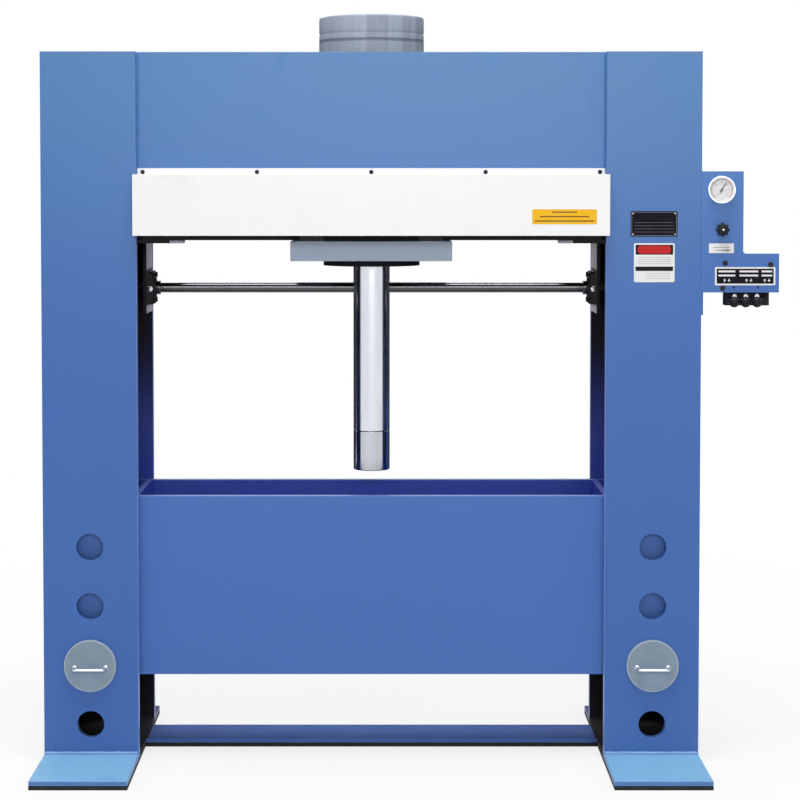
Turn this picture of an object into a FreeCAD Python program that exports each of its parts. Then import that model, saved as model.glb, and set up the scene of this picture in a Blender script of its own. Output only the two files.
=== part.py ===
"""Hydraulic frame press with a cylinder that travels along its head and a table that is set in height.

Millimetres. The origin is on the floor, midway between the columns, in the middle of their depth.
+X points to the control panel, -Y to the operator's side and +Z up.
"""
import FreeCAD, Part
import math
import os

Vec = FreeCAD.Vector
AXIS_X = Vec(1, 0, 0)
AXIS_Y = Vec(0, 1, 0)
AXIS_Z = Vec(0, 0, 1)

# ---- clearances
WORKING_GAP = 0.3            # between faces that move past each other
RUNNING_GAP = 0.05           # round a turning or sliding shaft
ROOM = 3.0                   # round something that passes a hole with room to spare
OVERRUN = 1.0                # how far a cut runs past the face that it opens

# ---- frame
OPENING_WIDTH = 1500.0       # clear width between the columns
COLUMN_WIDTH = 305.0
COLUMN_DEPTH = 520.0
COLUMN_PLATE = 30.0
COLUMN_WEB = 15.0
COLUMN_TOP_PLATE = 12.0
FRAME_HEIGHT = 2287.0
FOOT_PLATE = 15.0
FOOT_FRONT = 330.0           # length of a foot in front of the column
FOOT_REAR = 150.0
PAD_THICKNESS = 13.0
TIE_WIDTH = 190.0
TIE_CENTRE_Y = 40.0

# ---- head
HEAD_HEIGHT = 601.0
HEAD_PLATE = 30.0
CROSS_PLATE = 20.0
HEAD_CROSS_X = 700.0         # inner face of the plates between the head plates
RAIL_THICKNESS = 25.0
RAIL_HEIGHT = 40.0
RAIL_END_GAP = 15.0
STOP_THICKNESS = 10.0
STOP_LENGTH = 105.0
BUFFER_LENGTH = 45.0
BUFFER_DEPTH = 60.0

# ---- white cover over the front rail
COVER_SHEET = 2.0
COVER_WIDTH = 1516.0
COVER_HEIGHT = 195.0
COVER_PROUD = 42.0           # how far it stands out from the columns
COVER_BOTTOM_ABOVE_HEAD = 15.0
COVER_FLANGE = 20.0
COVER_LIP = 8.0
COVER_SIDE_GAP = 1.0         # between the columns, each side
COVER_SCREWS = 5
COVER_SCREW_INSET = 18.0     # from the columns to the outermost screws' middle
COVER_SCREW_RADIUS = 7.0
COVER_SCREW_HEAD = 4.0

# ---- locking pins
PIN_RADIUS = 42.0
PIN_PLAY = 1.5               # radial, in the holes of the columns
PIN_FROM_OPENING = 155.0     # from the column's inner edge to the pins' middle
PIN_ROWS = 4
PIN_PITCH = 191.5
PIN_LOWEST_Z = 124.5
ROWS_BELOW_PINS = 1          # free rows under the one that holds the table
PIN_TAIL = 15.0              # how far it reaches out of the rear plate
PIN_DISC_RADIUS = 84.0
PIN_DISC_THICKNESS = 12.0
HANDLE_WIDTH = 100.0
HANDLE_REACH = 40.0
HANDLE_RADIUS = 5.0
HANDLE_BEND = 12.0
HANDLE_DROP = 5.0            # below the middle of the disc

# ---- table
TABLE_PLATE = 30.0
TABLE_DEPTH = 430.0
TABLE_HEIGHT = 581.0
TABLE_BELOW_PIN = 38.0
TABLE_END_GAP = 55.0         # from a table plate's end to the column's outer plate
SEAT_PLAY = 13.0             # beside the pins, in the table's notches
TABLE_INNER_CROSS_X = 460.0
TABLE_INNER_CROSS_DROP = 70.0
TABLE_MOUTH_CROSS_GAP = 2.0
BRIDGE_THICKNESS = 20.0
BRIDGE_DROP = 30.0

# ---- lifting gear of the table
SHAFT_RADIUS = 17.5
SHAFT_Y = 146.0
SHAFT_BELOW_HEAD = 168.0
CHAIN_RADIUS = 52.0          # of the chain's middle line round its wheels
CHAIN_PITCH = 31.75
CHAIN_WIDTH = 16.0
CHAIN_EYE = 11.0             # half height of a link at its pin
CHAIN_WAIST = 7.5            # half height of a link between its pins
CHAIN_X = 1012.0
CHAIN_LOW_Z = 110.0
WHEEL_WIDTH = 12.0
WHEEL_TEETH = 10
WHEEL_TOOTH = 5.0
HUB_RADIUS = 26.0
HUB_LENGTH = 14.0
SHAFT_END_GAP = 6.0
STUB_RADIUS = 12.5
CLAMP_HEIGHT = 60.0
CLAMP_ABOVE_EDGE = 342.0     # above the table's lower edge
CLAMP_WALL = 14.0
BEARING_PLATE = 12.0
BEARING_PLATE_DEPTH = 190.0
BEARING_PLATE_ABOVE = 151.0
BEARING_PLATE_BELOW = 83.0
BEARING_FLANGE = 112.0
BEARING_FLANGE_THICKNESS = 14.0
BEARING_BOSS_RADIUS = 36.0
BEARING_BOSS = 8.0
COLLAR_RADIUS = 24.0
COLLAR_LENGTH = 14.0
BEARING_BOLT_SPREAD = 42.0
BEARING_BOLT_RADIUS = 6.0
BOLT_HEAD_HEIGHT = 8.0
LIFT_X = 830.0
LIFT_Y = -60.0
LIFT_BARREL_RADIUS = 35.0
LIFT_BORE_RADIUS = 26.0
LIFT_BARREL_LENGTH = 690.0
LIFT_BELOW_TOP = 257.0       # from the frame's top to the barrel's
LIFT_GLAND = 40.0
LIFT_END = 20.0
LIFT_ROD_RADIUS = 16.0
LIFT_PISTON = 40.0
LIFT_PISTON_RISE = 230.0     # above the barrel's lower end
LIFT_NUT_RADIUS = 28.0
LIFT_NUT = 20.0
LIFT_SHELF = 30.0
LIFT_SHELF_WIDTH = 90.0

# ---- cylinder and carriage
CARRIAGE_WIDTH = 515.0
CARRIAGE_HEIGHT = 63.0
CARRIAGE_HEAD_GAP = 3.0
CARRIAGE_PROUD = 28.0        # how far it stands out from the columns' fronts
ARM_THICKNESS = 12.0
ARM_WIDTH = 76.0
ARM_SPREAD = 190.0
ARM_ABOVE_AXLE = 34.0
ROLLER_RADIUS = 30.0
ROLLER_WIDTH = 22.0
ROLLER_PLATE_GAP = 2.0
ROLLER_EDGE = 1.5
AXLE_RADIUS = 12.0
AXLE_HEAD = 4.0
BARREL_RADIUS = 172.5
BORE_RADIUS = 135.0
SPIGOT_RADIUS = 145.0
BARREL_FLOOR = 88.0
CAP_JOINT_ABOVE_FRAME = 47.0
CAP_HEIGHT = 80.0
CAP_PLUG = 20.0
CAP_EDGE = 8.0
CAP_GROOVE = 2.0
CAP_GROOVE_WIDTH = 3.0
CAP_BAND_Z = 16.5
CAP_BAND_WIDTH = 11.0
CAP_BAND_DEPTH = 1.5
PORT_RADIUS = 16.0
PORT_LENGTH = 22.0
PORT_BORE = 8.0
BUSH_RADIUS = 90.0
GLAND_RADIUS = 159.0
GLAND_THICKNESS = 22.0
GLAND_BOLTS = 8
GLAND_BOLT_CIRCLE = 118.0
GLAND_BOLT_RADIUS = 10.0
GLAND_BOLT_LENGTH = 60.0
GLAND_HEAD_RADIUS = 15.0
GLAND_HEAD_HEIGHT = 14.0
GLAND_HEAD_SUNK = 1.0
RAM_RADIUS = 60.0
RAM_TIP_Z = 920.0
NOSE_LENGTH = 132.0
NOSE_GROOVE = 2.5
NOSE_EDGE = 3.0
NOSE_STEM_RADIUS = 28.0
NOSE_STEM = 45.0
PISTON_HEIGHT = 90.0
PISTON_FLOOR_GAP = 10.0
PISTON_RING = 8.0
PISTON_RING_DEPTH = 4.0

# ---- control panel, measured from the column's outer face and from the floor
PANEL_SHEET = 6.0
PANEL_UPPER_WIDTH = 133.0
PANEL_LOWER_WIDTH = 248.0
PANEL_LOW_Z = 1519.0
PANEL_STEP_Z = 1643.0
PANEL_TOP_Z = 1906.0
PANEL_CORNER = 10.0
PANEL_RETURN = 28.0
PANEL_STRAP_DROP = 72.0
PANEL_STRAP_DEPTH = 60.0
GAUGE_X = 62.0
GAUGE_Z = 1847.0
GAUGE_RADIUS = 44.0
GAUGE_PROUD = 14.0
GAUGE_BODY_RADIUS = 40.0
GAUGE_BODY = 36.0
GAUGE_RIM = 4.0
DIAL_THICKNESS = 1.0
DIAL_RECESS = 8.0
GLASS_THICKNESS = 2.0
GLASS_RECESS = 1.0
NEEDLE_LENGTH = 28.0
NEEDLE_TAIL = 10.0
NEEDLE_WIDTH = 2.4
NEEDLE_HUB = 4.0
NEEDLE_THICKNESS = 1.0
NEEDLE_LIFT = 1.0
NEEDLE_REST_ANGLE = 30.0     # degrees clockwise from upright
NEEDLE_PIN = 1.2
KNOB_X = 65.0
KNOB_Z = 1720.0
KNOB_RADIUS = 22.5
KNOB_DEPTH = 26.0
KNOB_LOBES = 8
KNOB_LOBE_RADIUS = 4.0
KNOB_STEM_RADIUS = 5.0
KNOB_STEM = 60.0
KNOB_NUT_RADIUS = 13.0
KNOB_NUT = 5.0
RELIEF_SIZE = 50.0
RELIEF_DEPTH = 70.0
VALVE_X = 82.0
VALVE_WIDTH = 140.0
VALVE_DEPTH = 74.0
VALVE_LOW_Z = 1476.0
VALVE_HIGH_Z = 1606.0
VALVE_NOSE_SETBACK = 32.0
VALVE_PANEL_GAP = 8.0
VALVE_SPACER_RADIUS = 7.0
LEVERS = 3
LEVER_FIRST_X = 93.5
LEVER_PITCH = 36.0
LEVER_Z = 1492.0
LEVER_HUB_RADIUS = 9.0
LEVER_HUB_WIDTH = 14.0
LEVER_PIN_RADIUS = 4.0
LEVER_EAR = 4.0
LEVER_EAR_REACH = 22.0
LEVER_ROD_RADIUS = 4.5
LEVER_LENGTH = 96.0
LEVER_KNOB_RADIUS = 17.0

# ---- oil tank, motor and pump behind the right column
UNIT_X = 50.0                # tank's near side, from the opening's edge
TANK_WIDTH = 320.0
TANK_DEPTH = 400.0
TANK_HEIGHT = 430.0
TANK_WALL = 4.0
TANK_Z = 620.0
TANK_COLUMN_GAP = 20.0
LID_THICKNESS = 10.0
LID_OVERHANG = 8.0
BRACKET_PLATE = 12.0
BRACKET_DROP = 220.0
BRACKET_RIB_INSET = 20.0
BRACKET_SIDE_MARGIN = 5.0
MOTOR_RADIUS = 88.0
MOTOR_HEIGHT = 270.0
MOTOR_FLANGE_RADIUS = 110.0
MOTOR_FLANGE = 14.0
MOTOR_FINS = 20
FIN_HEIGHT = 9.0
FIN_THICKNESS = 4.0
FIN_MARGIN = 30.0
FAN_COVER_HEIGHT = 58.0
FAN_COVER_STEP = 8.0
MOTOR_X = 165.0              # from the tank's near side
MOTOR_Y = 250.0              # from the tank's front
TERMINAL_WIDTH = 90.0
TERMINAL_HEIGHT = 100.0
TERMINAL_DEPTH = 46.0
INLET_RADIUS = 12.0
INLET_LENGTH = 16.0
PUMP_RADIUS = 52.0
PUMP_HEIGHT = 150.0
PUMP_SUCTION_RADIUS = 16.0
PUMP_SUCTION = 130.0
FILLER_X = 60.0
FILLER_Y = 70.0
NECK_RADIUS = 22.0
NECK_HEIGHT = 14.0
CAP_RADIUS = 30.0
FILLER_CAP_HEIGHT = 34.0
FILLER_RIBS = 12
FILLER_RIB_RADIUS = 3.0
OUTLET_X = 262.0
OUTLET_Y = 90.0
OUTLET_WIDTH = 60.0
OUTLET_DEPTH = 90.0
OUTLET_HEIGHT = 55.0
OUTLETS = 2

# ---- places worked out from the sizes above
INNER_X = OPENING_WIDTH / 2
OUTER_X = INNER_X + COLUMN_WIDTH
WEB_X = OUTER_X - COLUMN_WEB
PIN_X = INNER_X + PIN_FROM_OPENING
FRONT_Y = -COLUMN_DEPTH / 2
REAR_Y = COLUMN_DEPTH / 2
INSIDE_Y = REAR_Y - COLUMN_PLATE
FOOT_TOP = PAD_THICKNESS + FOOT_PLATE
FOOT_FRONT_Y = FRONT_Y - FOOT_FRONT
FOOT_REAR_Y = REAR_Y + FOOT_REAR
HEAD_LOW_Z = FRAME_HEIGHT - HEAD_HEIGHT
HEAD_INSIDE_Y = INSIDE_Y - HEAD_PLATE
SHAFT_Z = HEAD_LOW_Z - SHAFT_BELOW_HEAD
RAIL_OUTER_Y = INSIDE_Y + RAIL_THICKNESS
PIN_Z = PIN_LOWEST_Z + ROWS_BELOW_PINS * PIN_PITCH
TABLE_LOW_Z = PIN_Z - TABLE_BELOW_PIN
TABLE_TOP_Z = TABLE_LOW_Z + TABLE_HEIGHT
CLAMP_Z = TABLE_LOW_Z + CLAMP_ABOVE_EDGE
TABLE_FACE_Y = TABLE_DEPTH / 2
TABLE_INSIDE_Y = TABLE_FACE_Y - TABLE_PLATE
TABLE_END_X = WEB_X - TABLE_END_GAP
BRIDGE_TOP_Z = TABLE_TOP_Z - BRIDGE_DROP
LIFT_BARREL_TOP_Z = FRAME_HEIGHT - LIFT_BELOW_TOP
LIFT_BARREL_LOW_Z = LIFT_BARREL_TOP_Z - LIFT_BARREL_LENGTH
LIFT_PISTON_Z = LIFT_BARREL_LOW_Z + LIFT_PISTON_RISE
CARRIAGE_TOP_Z = HEAD_LOW_Z - CARRIAGE_HEAD_GAP
CARRIAGE_LOW_Z = CARRIAGE_TOP_Z - CARRIAGE_HEIGHT
CARRIAGE_FACE_Y = REAR_Y + CARRIAGE_PROUD
AXLE_Z = HEAD_LOW_Z + RAIL_HEIGHT + ROLLER_RADIUS + WORKING_GAP
ROLLER_INNER_Y = INSIDE_Y + ROLLER_PLATE_GAP
CAP_JOINT_Z = FRAME_HEIGHT + CAP_JOINT_ABOVE_FRAME
CAP_TOP_Z = CAP_JOINT_Z + CAP_HEIGHT
BARREL_FLOOR_Z = CARRIAGE_LOW_Z + BARREL_FLOOR
PISTON_LOW_Z = BARREL_FLOOR_Z + PISTON_FLOOR_GAP
NOSE_TOP_Z = RAM_TIP_Z + NOSE_LENGTH
LEVER_Y = FRONT_Y + VALVE_NOSE_SETBACK - LEVER_EAR_REACH / 2
TANK_X = INNER_X + UNIT_X
TANK_Y = REAR_Y + TANK_COLUMN_GAP
TANK_TOP_Z = TANK_Z + TANK_HEIGHT
LID_TOP_Z = TANK_TOP_Z + LID_THICKNESS


def block(x0, x1, y0, y1, z0, z1):
    """A box between two planes along each axis."""
    return Part.makeBox(x1 - x0, y1 - y0, z1 - z0, Vec(x0, y0, z0))


def rod_x(radius, x0, x1, y, z):
    return Part.makeCylinder(radius, x1 - x0, Vec(x0, y, z), AXIS_X)


def rod_y(radius, y0, y1, x, z):
    return Part.makeCylinder(radius, y1 - y0, Vec(x, y0, z), AXIS_Y)


def rod_z(radius, z0, z1, x, y):
    return Part.makeCylinder(radius, z1 - z0, Vec(x, y, z0), AXIS_Z)


def prism_x(points, x0, x1):
    """A straight-sided outline of (y, z) points, thickened from x0 to x1."""
    corners = [Vec(x0, y, z) for y, z in points]
    outline = Part.makePolygon(corners + corners[:1])
    return Part.Face(outline).extrude(AXIS_X * (x1 - x0))


def join(shapes):
    """One solid of shapes that touch or overlap."""
    whole = shapes[0].multiFuse(shapes[1:]).removeSplitter()
    return whole.Solids[0] if len(whole.Solids) == 1 else whole


def mirrored(shape):
    """The same piece on the other side of the press."""
    return shape.mirror(Vec(0, 0, 0), AXIS_X)


def both_sides(shape):
    return Part.makeCompound([mirrored(shape), shape])


def save(node, shape):
    shape.exportStep("parts/" + node + ".step")


def pin_heights():
    return [PIN_LOWEST_Z + row * PIN_PITCH for row in range(PIN_ROWS)]


# ---------------------------------------------------------------- frame

def column():
    """Front and rear plate with pin holes, joined by an outer plate and a top plate, open inwards."""
    front = block(INNER_X, OUTER_X, FRONT_Y, -INSIDE_Y, FOOT_TOP, FRAME_HEIGHT)
    rear = block(INNER_X, OUTER_X, INSIDE_Y, REAR_Y, FOOT_TOP, FRAME_HEIGHT)
    web = block(WEB_X, OUTER_X, -INSIDE_Y, INSIDE_Y, FOOT_TOP, FRAME_HEIGHT)
    top = block(INNER_X, WEB_X, -HEAD_INSIDE_Y, HEAD_INSIDE_Y,
                FRAME_HEIGHT - COLUMN_TOP_PLATE, FRAME_HEIGHT)
    stub = rod_x(STUB_RADIUS, CHAIN_X - HUB_LENGTH, WEB_X, SHAFT_Y, CHAIN_LOW_Z)
    body = join([front, rear, web, top, stub])
    for z in pin_heights():
        body = body.cut(rod_y(PIN_RADIUS + PIN_PLAY, FRONT_Y - OVERRUN, REAR_Y + OVERRUN, PIN_X, z))
    return body


def lift_shelf():
    """Shelf on the outer plate of the right column, which the lifting cylinder hangs from."""
    return block(LIFT_X - LIFT_SHELF_WIDTH / 2, WEB_X, LIFT_Y - LIFT_SHELF_WIDTH / 2,
                 LIFT_Y + LIFT_SHELF_WIDTH / 2, LIFT_BARREL_TOP_Z, LIFT_BARREL_TOP_Z + LIFT_SHELF)


def foot():
    return block(INNER_X, OUTER_X, FOOT_FRONT_Y, FOOT_REAR_Y, PAD_THICKNESS, FOOT_TOP)


def tie(z0, z1):
    return block(-INNER_X, INNER_X, TIE_CENTRE_Y - TIE_WIDTH / 2, TIE_CENTRE_Y + TIE_WIDTH / 2, z0, z1)


def floor_pads():
    pad = block(INNER_X, OUTER_X, FOOT_FRONT_Y, FOOT_REAR_Y, 0, PAD_THICKNESS)
    return Part.makeCompound([mirrored(pad), pad, tie(0, PAD_THICKNESS)])


def head_plate(y0):
    return block(-WEB_X, WEB_X, y0, y0 + HEAD_PLATE, HEAD_LOW_Z, FRAME_HEIGHT)


def head_cross_plates():
    plate = block(HEAD_CROSS_X, HEAD_CROSS_X + CROSS_PLATE, -HEAD_INSIDE_Y, HEAD_INSIDE_Y,
                  HEAD_LOW_Z, FRAME_HEIGHT)
    return both_sides(plate)


def carriage_rails():
    """Flat rails low on the outer faces of the head plates."""
    end = INNER_X - RAIL_END_GAP
    front = block(-end, end, -RAIL_OUTER_Y, -INSIDE_Y, HEAD_LOW_Z, HEAD_LOW_Z + RAIL_HEIGHT)
    rear = block(-end, end, INSIDE_Y, RAIL_OUTER_Y, HEAD_LOW_Z, HEAD_LOW_Z + RAIL_HEIGHT)
    return Part.makeCompound([front, rear])


def stop_plates():
    plate = block(INNER_X - STOP_LENGTH, INNER_X, -RAIL_OUTER_Y, RAIL_OUTER_Y,
                  HEAD_LOW_Z - STOP_THICKNESS, HEAD_LOW_Z)
    return both_sides(plate)


def stop_buffers():
    """Buffers on the inner ends of the stop plates, front and rear."""
    x1 = INNER_X - STOP_LENGTH
    front = block(x1 - BUFFER_LENGTH, x1, -RAIL_OUTER_Y, BUFFER_DEPTH - RAIL_OUTER_Y,
                  HEAD_LOW_Z - STOP_THICKNESS, HEAD_LOW_Z)
    rear = front.mirror(Vec(0, 0, 0), AXIS_Y)
    return Part.makeCompound([mirrored(front), front, mirrored(rear), rear])


def cover_z():
    low = HEAD_LOW_Z + COVER_BOTTOM_ABOVE_HEAD
    return low, low + COVER_HEIGHT


def front_cover():
    """Folded sheet: front, top shelf, flange on the head plate, closed ends and a bottom lip."""
    low, high = cover_z()
    half = COVER_WIDTH / 2
    face_y = FRONT_Y - COVER_PROUD
    between = INNER_X - COVER_SIDE_GAP
    front = block(-half, half, face_y, face_y + COVER_SHEET, low, high)
    outer_shelf = block(-half, half, face_y, FRONT_Y, high - COVER_SHEET, high)
    inner_shelf = block(-between, between, face_y, -INSIDE_Y, high - COVER_SHEET, high)
    flange = block(-between, between, -INSIDE_Y - COVER_SHEET, -INSIDE_Y,
                   high - COVER_SHEET, high + COVER_FLANGE)
    lip = block(-half, half, face_y, face_y + COVER_LIP, low, low + COVER_SHEET)
    end = block(half - COVER_SHEET, half, face_y, FRONT_Y, low, high)
    return join([front, outer_shelf, inner_shelf, flange, lip, end, mirrored(end)])


def cover_screws():
    high = cover_z()[1]
    z = high + COVER_FLANGE / 2 - COVER_SHEET
    seat_y = -INSIDE_Y - COVER_SHEET
    outermost = INNER_X - COVER_SCREW_INSET
    pitch = 2 * outermost / (COVER_SCREWS - 1)
    screws = []
    for i in range(COVER_SCREWS):
        x = i * pitch - outermost
        head = rod_y(COVER_SCREW_RADIUS, seat_y - COVER_SCREW_HEAD, seat_y, x, z)
        crown = max(head.Edges, key=lambda edge: -edge.CenterOfMass.y)
        screws.append(head.makeFillet(COVER_SCREW_HEAD * 0.6, [crown]))
    return Part.makeCompound(screws)


# ---------------------------------------------------------------- locking pins

def locking_pin():
    """Round bar through both column plates, with a disc on its front end."""
    disc_y = FRONT_Y - WORKING_GAP
    bar = rod_y(PIN_RADIUS, disc_y, REAR_Y + PIN_TAIL, PIN_X, PIN_Z)
    tail = max(bar.Edges, key=lambda edge: edge.CenterOfMass.y)
    bar = bar.makeChamfer(PIN_TAIL / 3, [tail])
    disc = rod_y(PIN_DISC_RADIUS, disc_y - PIN_DISC_THICKNESS, disc_y, PIN_X, PIN_Z)
    rim = min(disc.Edges, key=lambda edge: edge.CenterOfMass.y)
    disc = disc.makeFillet(PIN_DISC_THICKNESS / 6, [rim])
    return join([disc, bar])


def pin_handle():
    """Round bar bent into a bow, welded to the disc."""
    face_y = FRONT_Y - WORKING_GAP - PIN_DISC_THICKNESS
    z = PIN_Z - HANDLE_DROP
    left = PIN_X - HANDLE_WIDTH / 2
    right = PIN_X + HANDLE_WIDTH / 2
    bow_y = face_y - HANDLE_REACH
    bend = HANDLE_BEND
    inset = bend * (1 - math.sqrt(0.5))
    path = Part.Wire([
        Part.LineSegment(Vec(left, face_y, z), Vec(left, bow_y + bend, z)).toShape(),
        Part.Arc(Vec(left, bow_y + bend, z), Vec(left + inset, bow_y + inset, z),
                 Vec(left + bend, bow_y, z)).toShape(),
        Part.LineSegment(Vec(left + bend, bow_y, z), Vec(right - bend, bow_y, z)).toShape(),
        Part.Arc(Vec(right - bend, bow_y, z), Vec(right - inset, bow_y + inset, z),
                 Vec(right, bow_y + bend, z)).toShape(),
        Part.LineSegment(Vec(right, bow_y + bend, z), Vec(right, face_y, z)).toShape(),
    ])
    section = Part.Wire([Part.makeCircle(HANDLE_RADIUS, Vec(left, face_y, z), AXIS_Y)])
    return path.makePipeShell([section], True, False)


# ---------------------------------------------------------------- table

def pin_seat(y0, y1):
    """Square notch in a table plate; its flat top rests on a locking pin."""
    half = PIN_RADIUS + SEAT_PLAY
    return block(PIN_X - half, PIN_X + half, y0 - OVERRUN, y1 + OVERRUN,
                 TABLE_LOW_Z - OVERRUN, PIN_Z + PIN_RADIUS + WORKING_GAP)


def table_plate(y0):
    y1 = y0 + TABLE_PLATE
    plate = block(-TABLE_END_X, TABLE_END_X, y0, y1, TABLE_LOW_Z, TABLE_TOP_Z)
    notch = pin_seat(y0, y1)
    return plate.cut(notch).cut(mirrored(notch))


def chain_clamp():
    """Block on the table's end plate, with a slot that takes one run of the chain."""
    strand_y = SHAFT_Y - CHAIN_RADIUS
    half = CHAIN_EYE + WORKING_GAP + CLAMP_WALL
    x1 = CHAIN_X + CHAIN_WIDTH / 2
    body = block(TABLE_END_X, x1, strand_y - half, strand_y + half, CLAMP_Z, CLAMP_Z + CLAMP_HEIGHT)
    slot = block(CHAIN_X - CHAIN_WIDTH / 2 - WORKING_GAP, x1 + OVERRUN,
                 strand_y - CHAIN_EYE - WORKING_GAP, strand_y + CHAIN_EYE + WORKING_GAP,
                 CLAMP_Z - OVERRUN, CLAMP_Z + CLAMP_HEIGHT + OVERRUN)
    return body.cut(slot)


def table_cross_plate(x0, top_z):
    return block(x0, x0 + CROSS_PLATE, -TABLE_INSIDE_Y, TABLE_INSIDE_Y, TABLE_LOW_Z, top_z)


def table_cross_plates():
    """Plates between the two table plates; the outermost carry the chain clamps."""
    mouth_x = INNER_X + TABLE_MOUTH_CROSS_GAP
    inner = table_cross_plate(TABLE_INNER_CROSS_X, TABLE_TOP_Z - TABLE_INNER_CROSS_DROP)
    mouth = table_cross_plate(mouth_x, TABLE_TOP_Z)
    outer = join([table_cross_plate(TABLE_END_X - CROSS_PLATE, TABLE_TOP_Z), chain_clamp()])
    bridge = block(mouth_x + CROSS_PLATE, LIFT_X + LIFT_SHELF_WIDTH / 2, -TABLE_INSIDE_Y, TABLE_INSIDE_Y,
                   BRIDGE_TOP_Z - BRIDGE_THICKNESS, BRIDGE_TOP_Z)
    bridge = bridge.cut(rod_z(LIFT_ROD_RADIUS, 0, BRIDGE_TOP_Z + OVERRUN, LIFT_X, LIFT_Y))
    mouth_with_bridge = join([mouth, bridge])
    return Part.makeCompound([mirrored(inner), inner, mirrored(mouth), mouth_with_bridge,
                              mirrored(outer), outer])


# ---------------------------------------------------------------- lifting gear

def wheel_outline(radius):
    """Toothed outline whose tips stay inside the chain."""
    points = []
    for tooth in range(WHEEL_TEETH):
        for share, reach in ((0.0, radius - WHEEL_TOOTH), (0.3, radius - WHEEL_TOOTH),
                             (0.45, radius), (0.85, radius)):
            angle = 2 * math.pi * (tooth + share) / WHEEL_TEETH
            points.append((reach * math.cos(angle), reach * math.sin(angle)))
    return points


def chain_wheel(z, bore):
    """Toothed wheel with a hub, at the plane of the chain."""
    tip = CHAIN_RADIUS - CHAIN_EYE - 2 * WORKING_GAP
    outline = [(SHAFT_Y + y, z + up) for y, up in wheel_outline(tip)]
    disc = prism_x(outline, CHAIN_X - WHEEL_WIDTH / 2, CHAIN_X + WHEEL_WIDTH / 2)
    hub = rod_x(HUB_RADIUS, CHAIN_X - WHEEL_WIDTH / 2 - HUB_LENGTH / 2,
                CHAIN_X + WHEEL_WIDTH / 2, SHAFT_Y, z)
    return join([disc, hub]).cut(rod_x(bore, INNER_X, OUTER_X, SHAFT_Y, z))


def cross_shaft():
    """Shaft from column to column; a set collar stands against each bearing."""
    end = WEB_X - SHAFT_END_GAP
    collar_x = INNER_X - BEARING_FLANGE_THICKNESS - BEARING_BOSS - WORKING_GAP
    shaft = rod_x(SHAFT_RADIUS, -end, end, SHAFT_Y, SHAFT_Z)
    collar = rod_x(COLLAR_RADIUS, collar_x - COLLAR_LENGTH, collar_x, SHAFT_Y, SHAFT_Z)
    return join([shaft, collar, mirrored(collar)])


def chain_point(distance, offset):
    """A point beside the chain's loop, at a distance along it and an offset outwards."""
    straight = SHAFT_Z - CHAIN_LOW_Z
    half_turn = math.pi * CHAIN_RADIUS
    distance = distance % (2 * (straight + half_turn))
    reach = CHAIN_RADIUS + offset
    if distance < straight:
        return SHAFT_Y + reach, CHAIN_LOW_Z + distance
    distance -= straight
    if distance < half_turn:
        angle = distance / CHAIN_RADIUS
        return SHAFT_Y + reach * math.cos(angle), SHAFT_Z + reach * math.sin(angle)
    distance -= half_turn
    if distance < straight:
        return SHAFT_Y - reach, SHAFT_Z - distance
    angle = (distance - straight) / CHAIN_RADIUS
    return SHAFT_Y - reach * math.cos(angle), CHAIN_LOW_Z - reach * math.sin(angle)


def chain_wire(side, x):
    """Scalloped edge of the chain: wide at each pin, narrow between the pins."""
    length = 2 * (SHAFT_Z - CHAIN_LOW_Z) + 2 * math.pi * CHAIN_RADIUS
    links = round(length / CHAIN_PITCH)
    pitch = length / links
    edges = []
    for link in range(links):
        start = chain_point((link - 0.5) * pitch, side * CHAIN_WAIST)
        crest = chain_point(link * pitch, side * CHAIN_EYE)
        end = chain_point((link + 0.5) * pitch, side * CHAIN_WAIST)
        corners = [Vec(x, y, z) for y, z in (start, crest, end)]
        edges.append(Part.Arc(*corners).toShape())
    return Part.Wire(edges)


def chain():
    x = CHAIN_X - CHAIN_WIDTH / 2
    face = Part.Face([chain_wire(1, x), chain_wire(-1, x)])
    face.validate()
    return face.extrude(AXIS_X * CHAIN_WIDTH)


def bearing_plate():
    """Plate inside the mouth of the column, welded to the rear plate, that carries a flange bearing."""
    plate = block(INNER_X, INNER_X + BEARING_PLATE, INSIDE_Y - BEARING_PLATE_DEPTH, INSIDE_Y,
                  SHAFT_Z - BEARING_PLATE_BELOW, SHAFT_Z + BEARING_PLATE_ABOVE)
    hole = rod_x(SHAFT_RADIUS + ROOM, INNER_X - OVERRUN, OUTER_X, SHAFT_Y, SHAFT_Z)
    plate = plate.cut(hole)
    for shank in bearing_bolt_shanks(INNER_X - OVERRUN, OUTER_X):
        plate = plate.cut(shank)
    return plate


def bearing_bolt_shanks(x0, x1):
    places = [(SHAFT_Y + dy, SHAFT_Z + dz) for dy in (-BEARING_BOLT_SPREAD, BEARING_BOLT_SPREAD)
              for dz in (-BEARING_BOLT_SPREAD, BEARING_BOLT_SPREAD)]
    return [rod_x(BEARING_BOLT_RADIUS, x0, x1, y, z) for y, z in places]


def shaft_bearing():
    """Cast square flange with a round boss, bored for the shaft."""
    half = BEARING_FLANGE / 2
    x0 = INNER_X - BEARING_FLANGE_THICKNESS
    flange = block(x0, INNER_X, SHAFT_Y - half, SHAFT_Y + half, SHAFT_Z - half, SHAFT_Z + half)
    upright = [edge for edge in flange.Edges if edge.Length < BEARING_FLANGE_THICKNESS + 1]
    flange = flange.makeFillet(half / 4, upright)
    boss = rod_x(BEARING_BOSS_RADIUS, x0 - BEARING_BOSS, x0, SHAFT_Y, SHAFT_Z)
    bore = rod_x(SHAFT_RADIUS + RUNNING_GAP, 0, INNER_X + OVERRUN, SHAFT_Y, SHAFT_Z)
    body = join([flange, boss]).cut(bore)
    for shank in bearing_bolt_shanks(0, INNER_X + OVERRUN):
        body = body.cut(shank)
    return body


def hexagon_x(radius, x0, x1, y, z):
    points = [(y + radius * math.cos(math.radians(60 * i)), z + radius * math.sin(math.radians(60 * i)))
              for i in range(6)]
    return prism_x(points, x0, x1)


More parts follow.
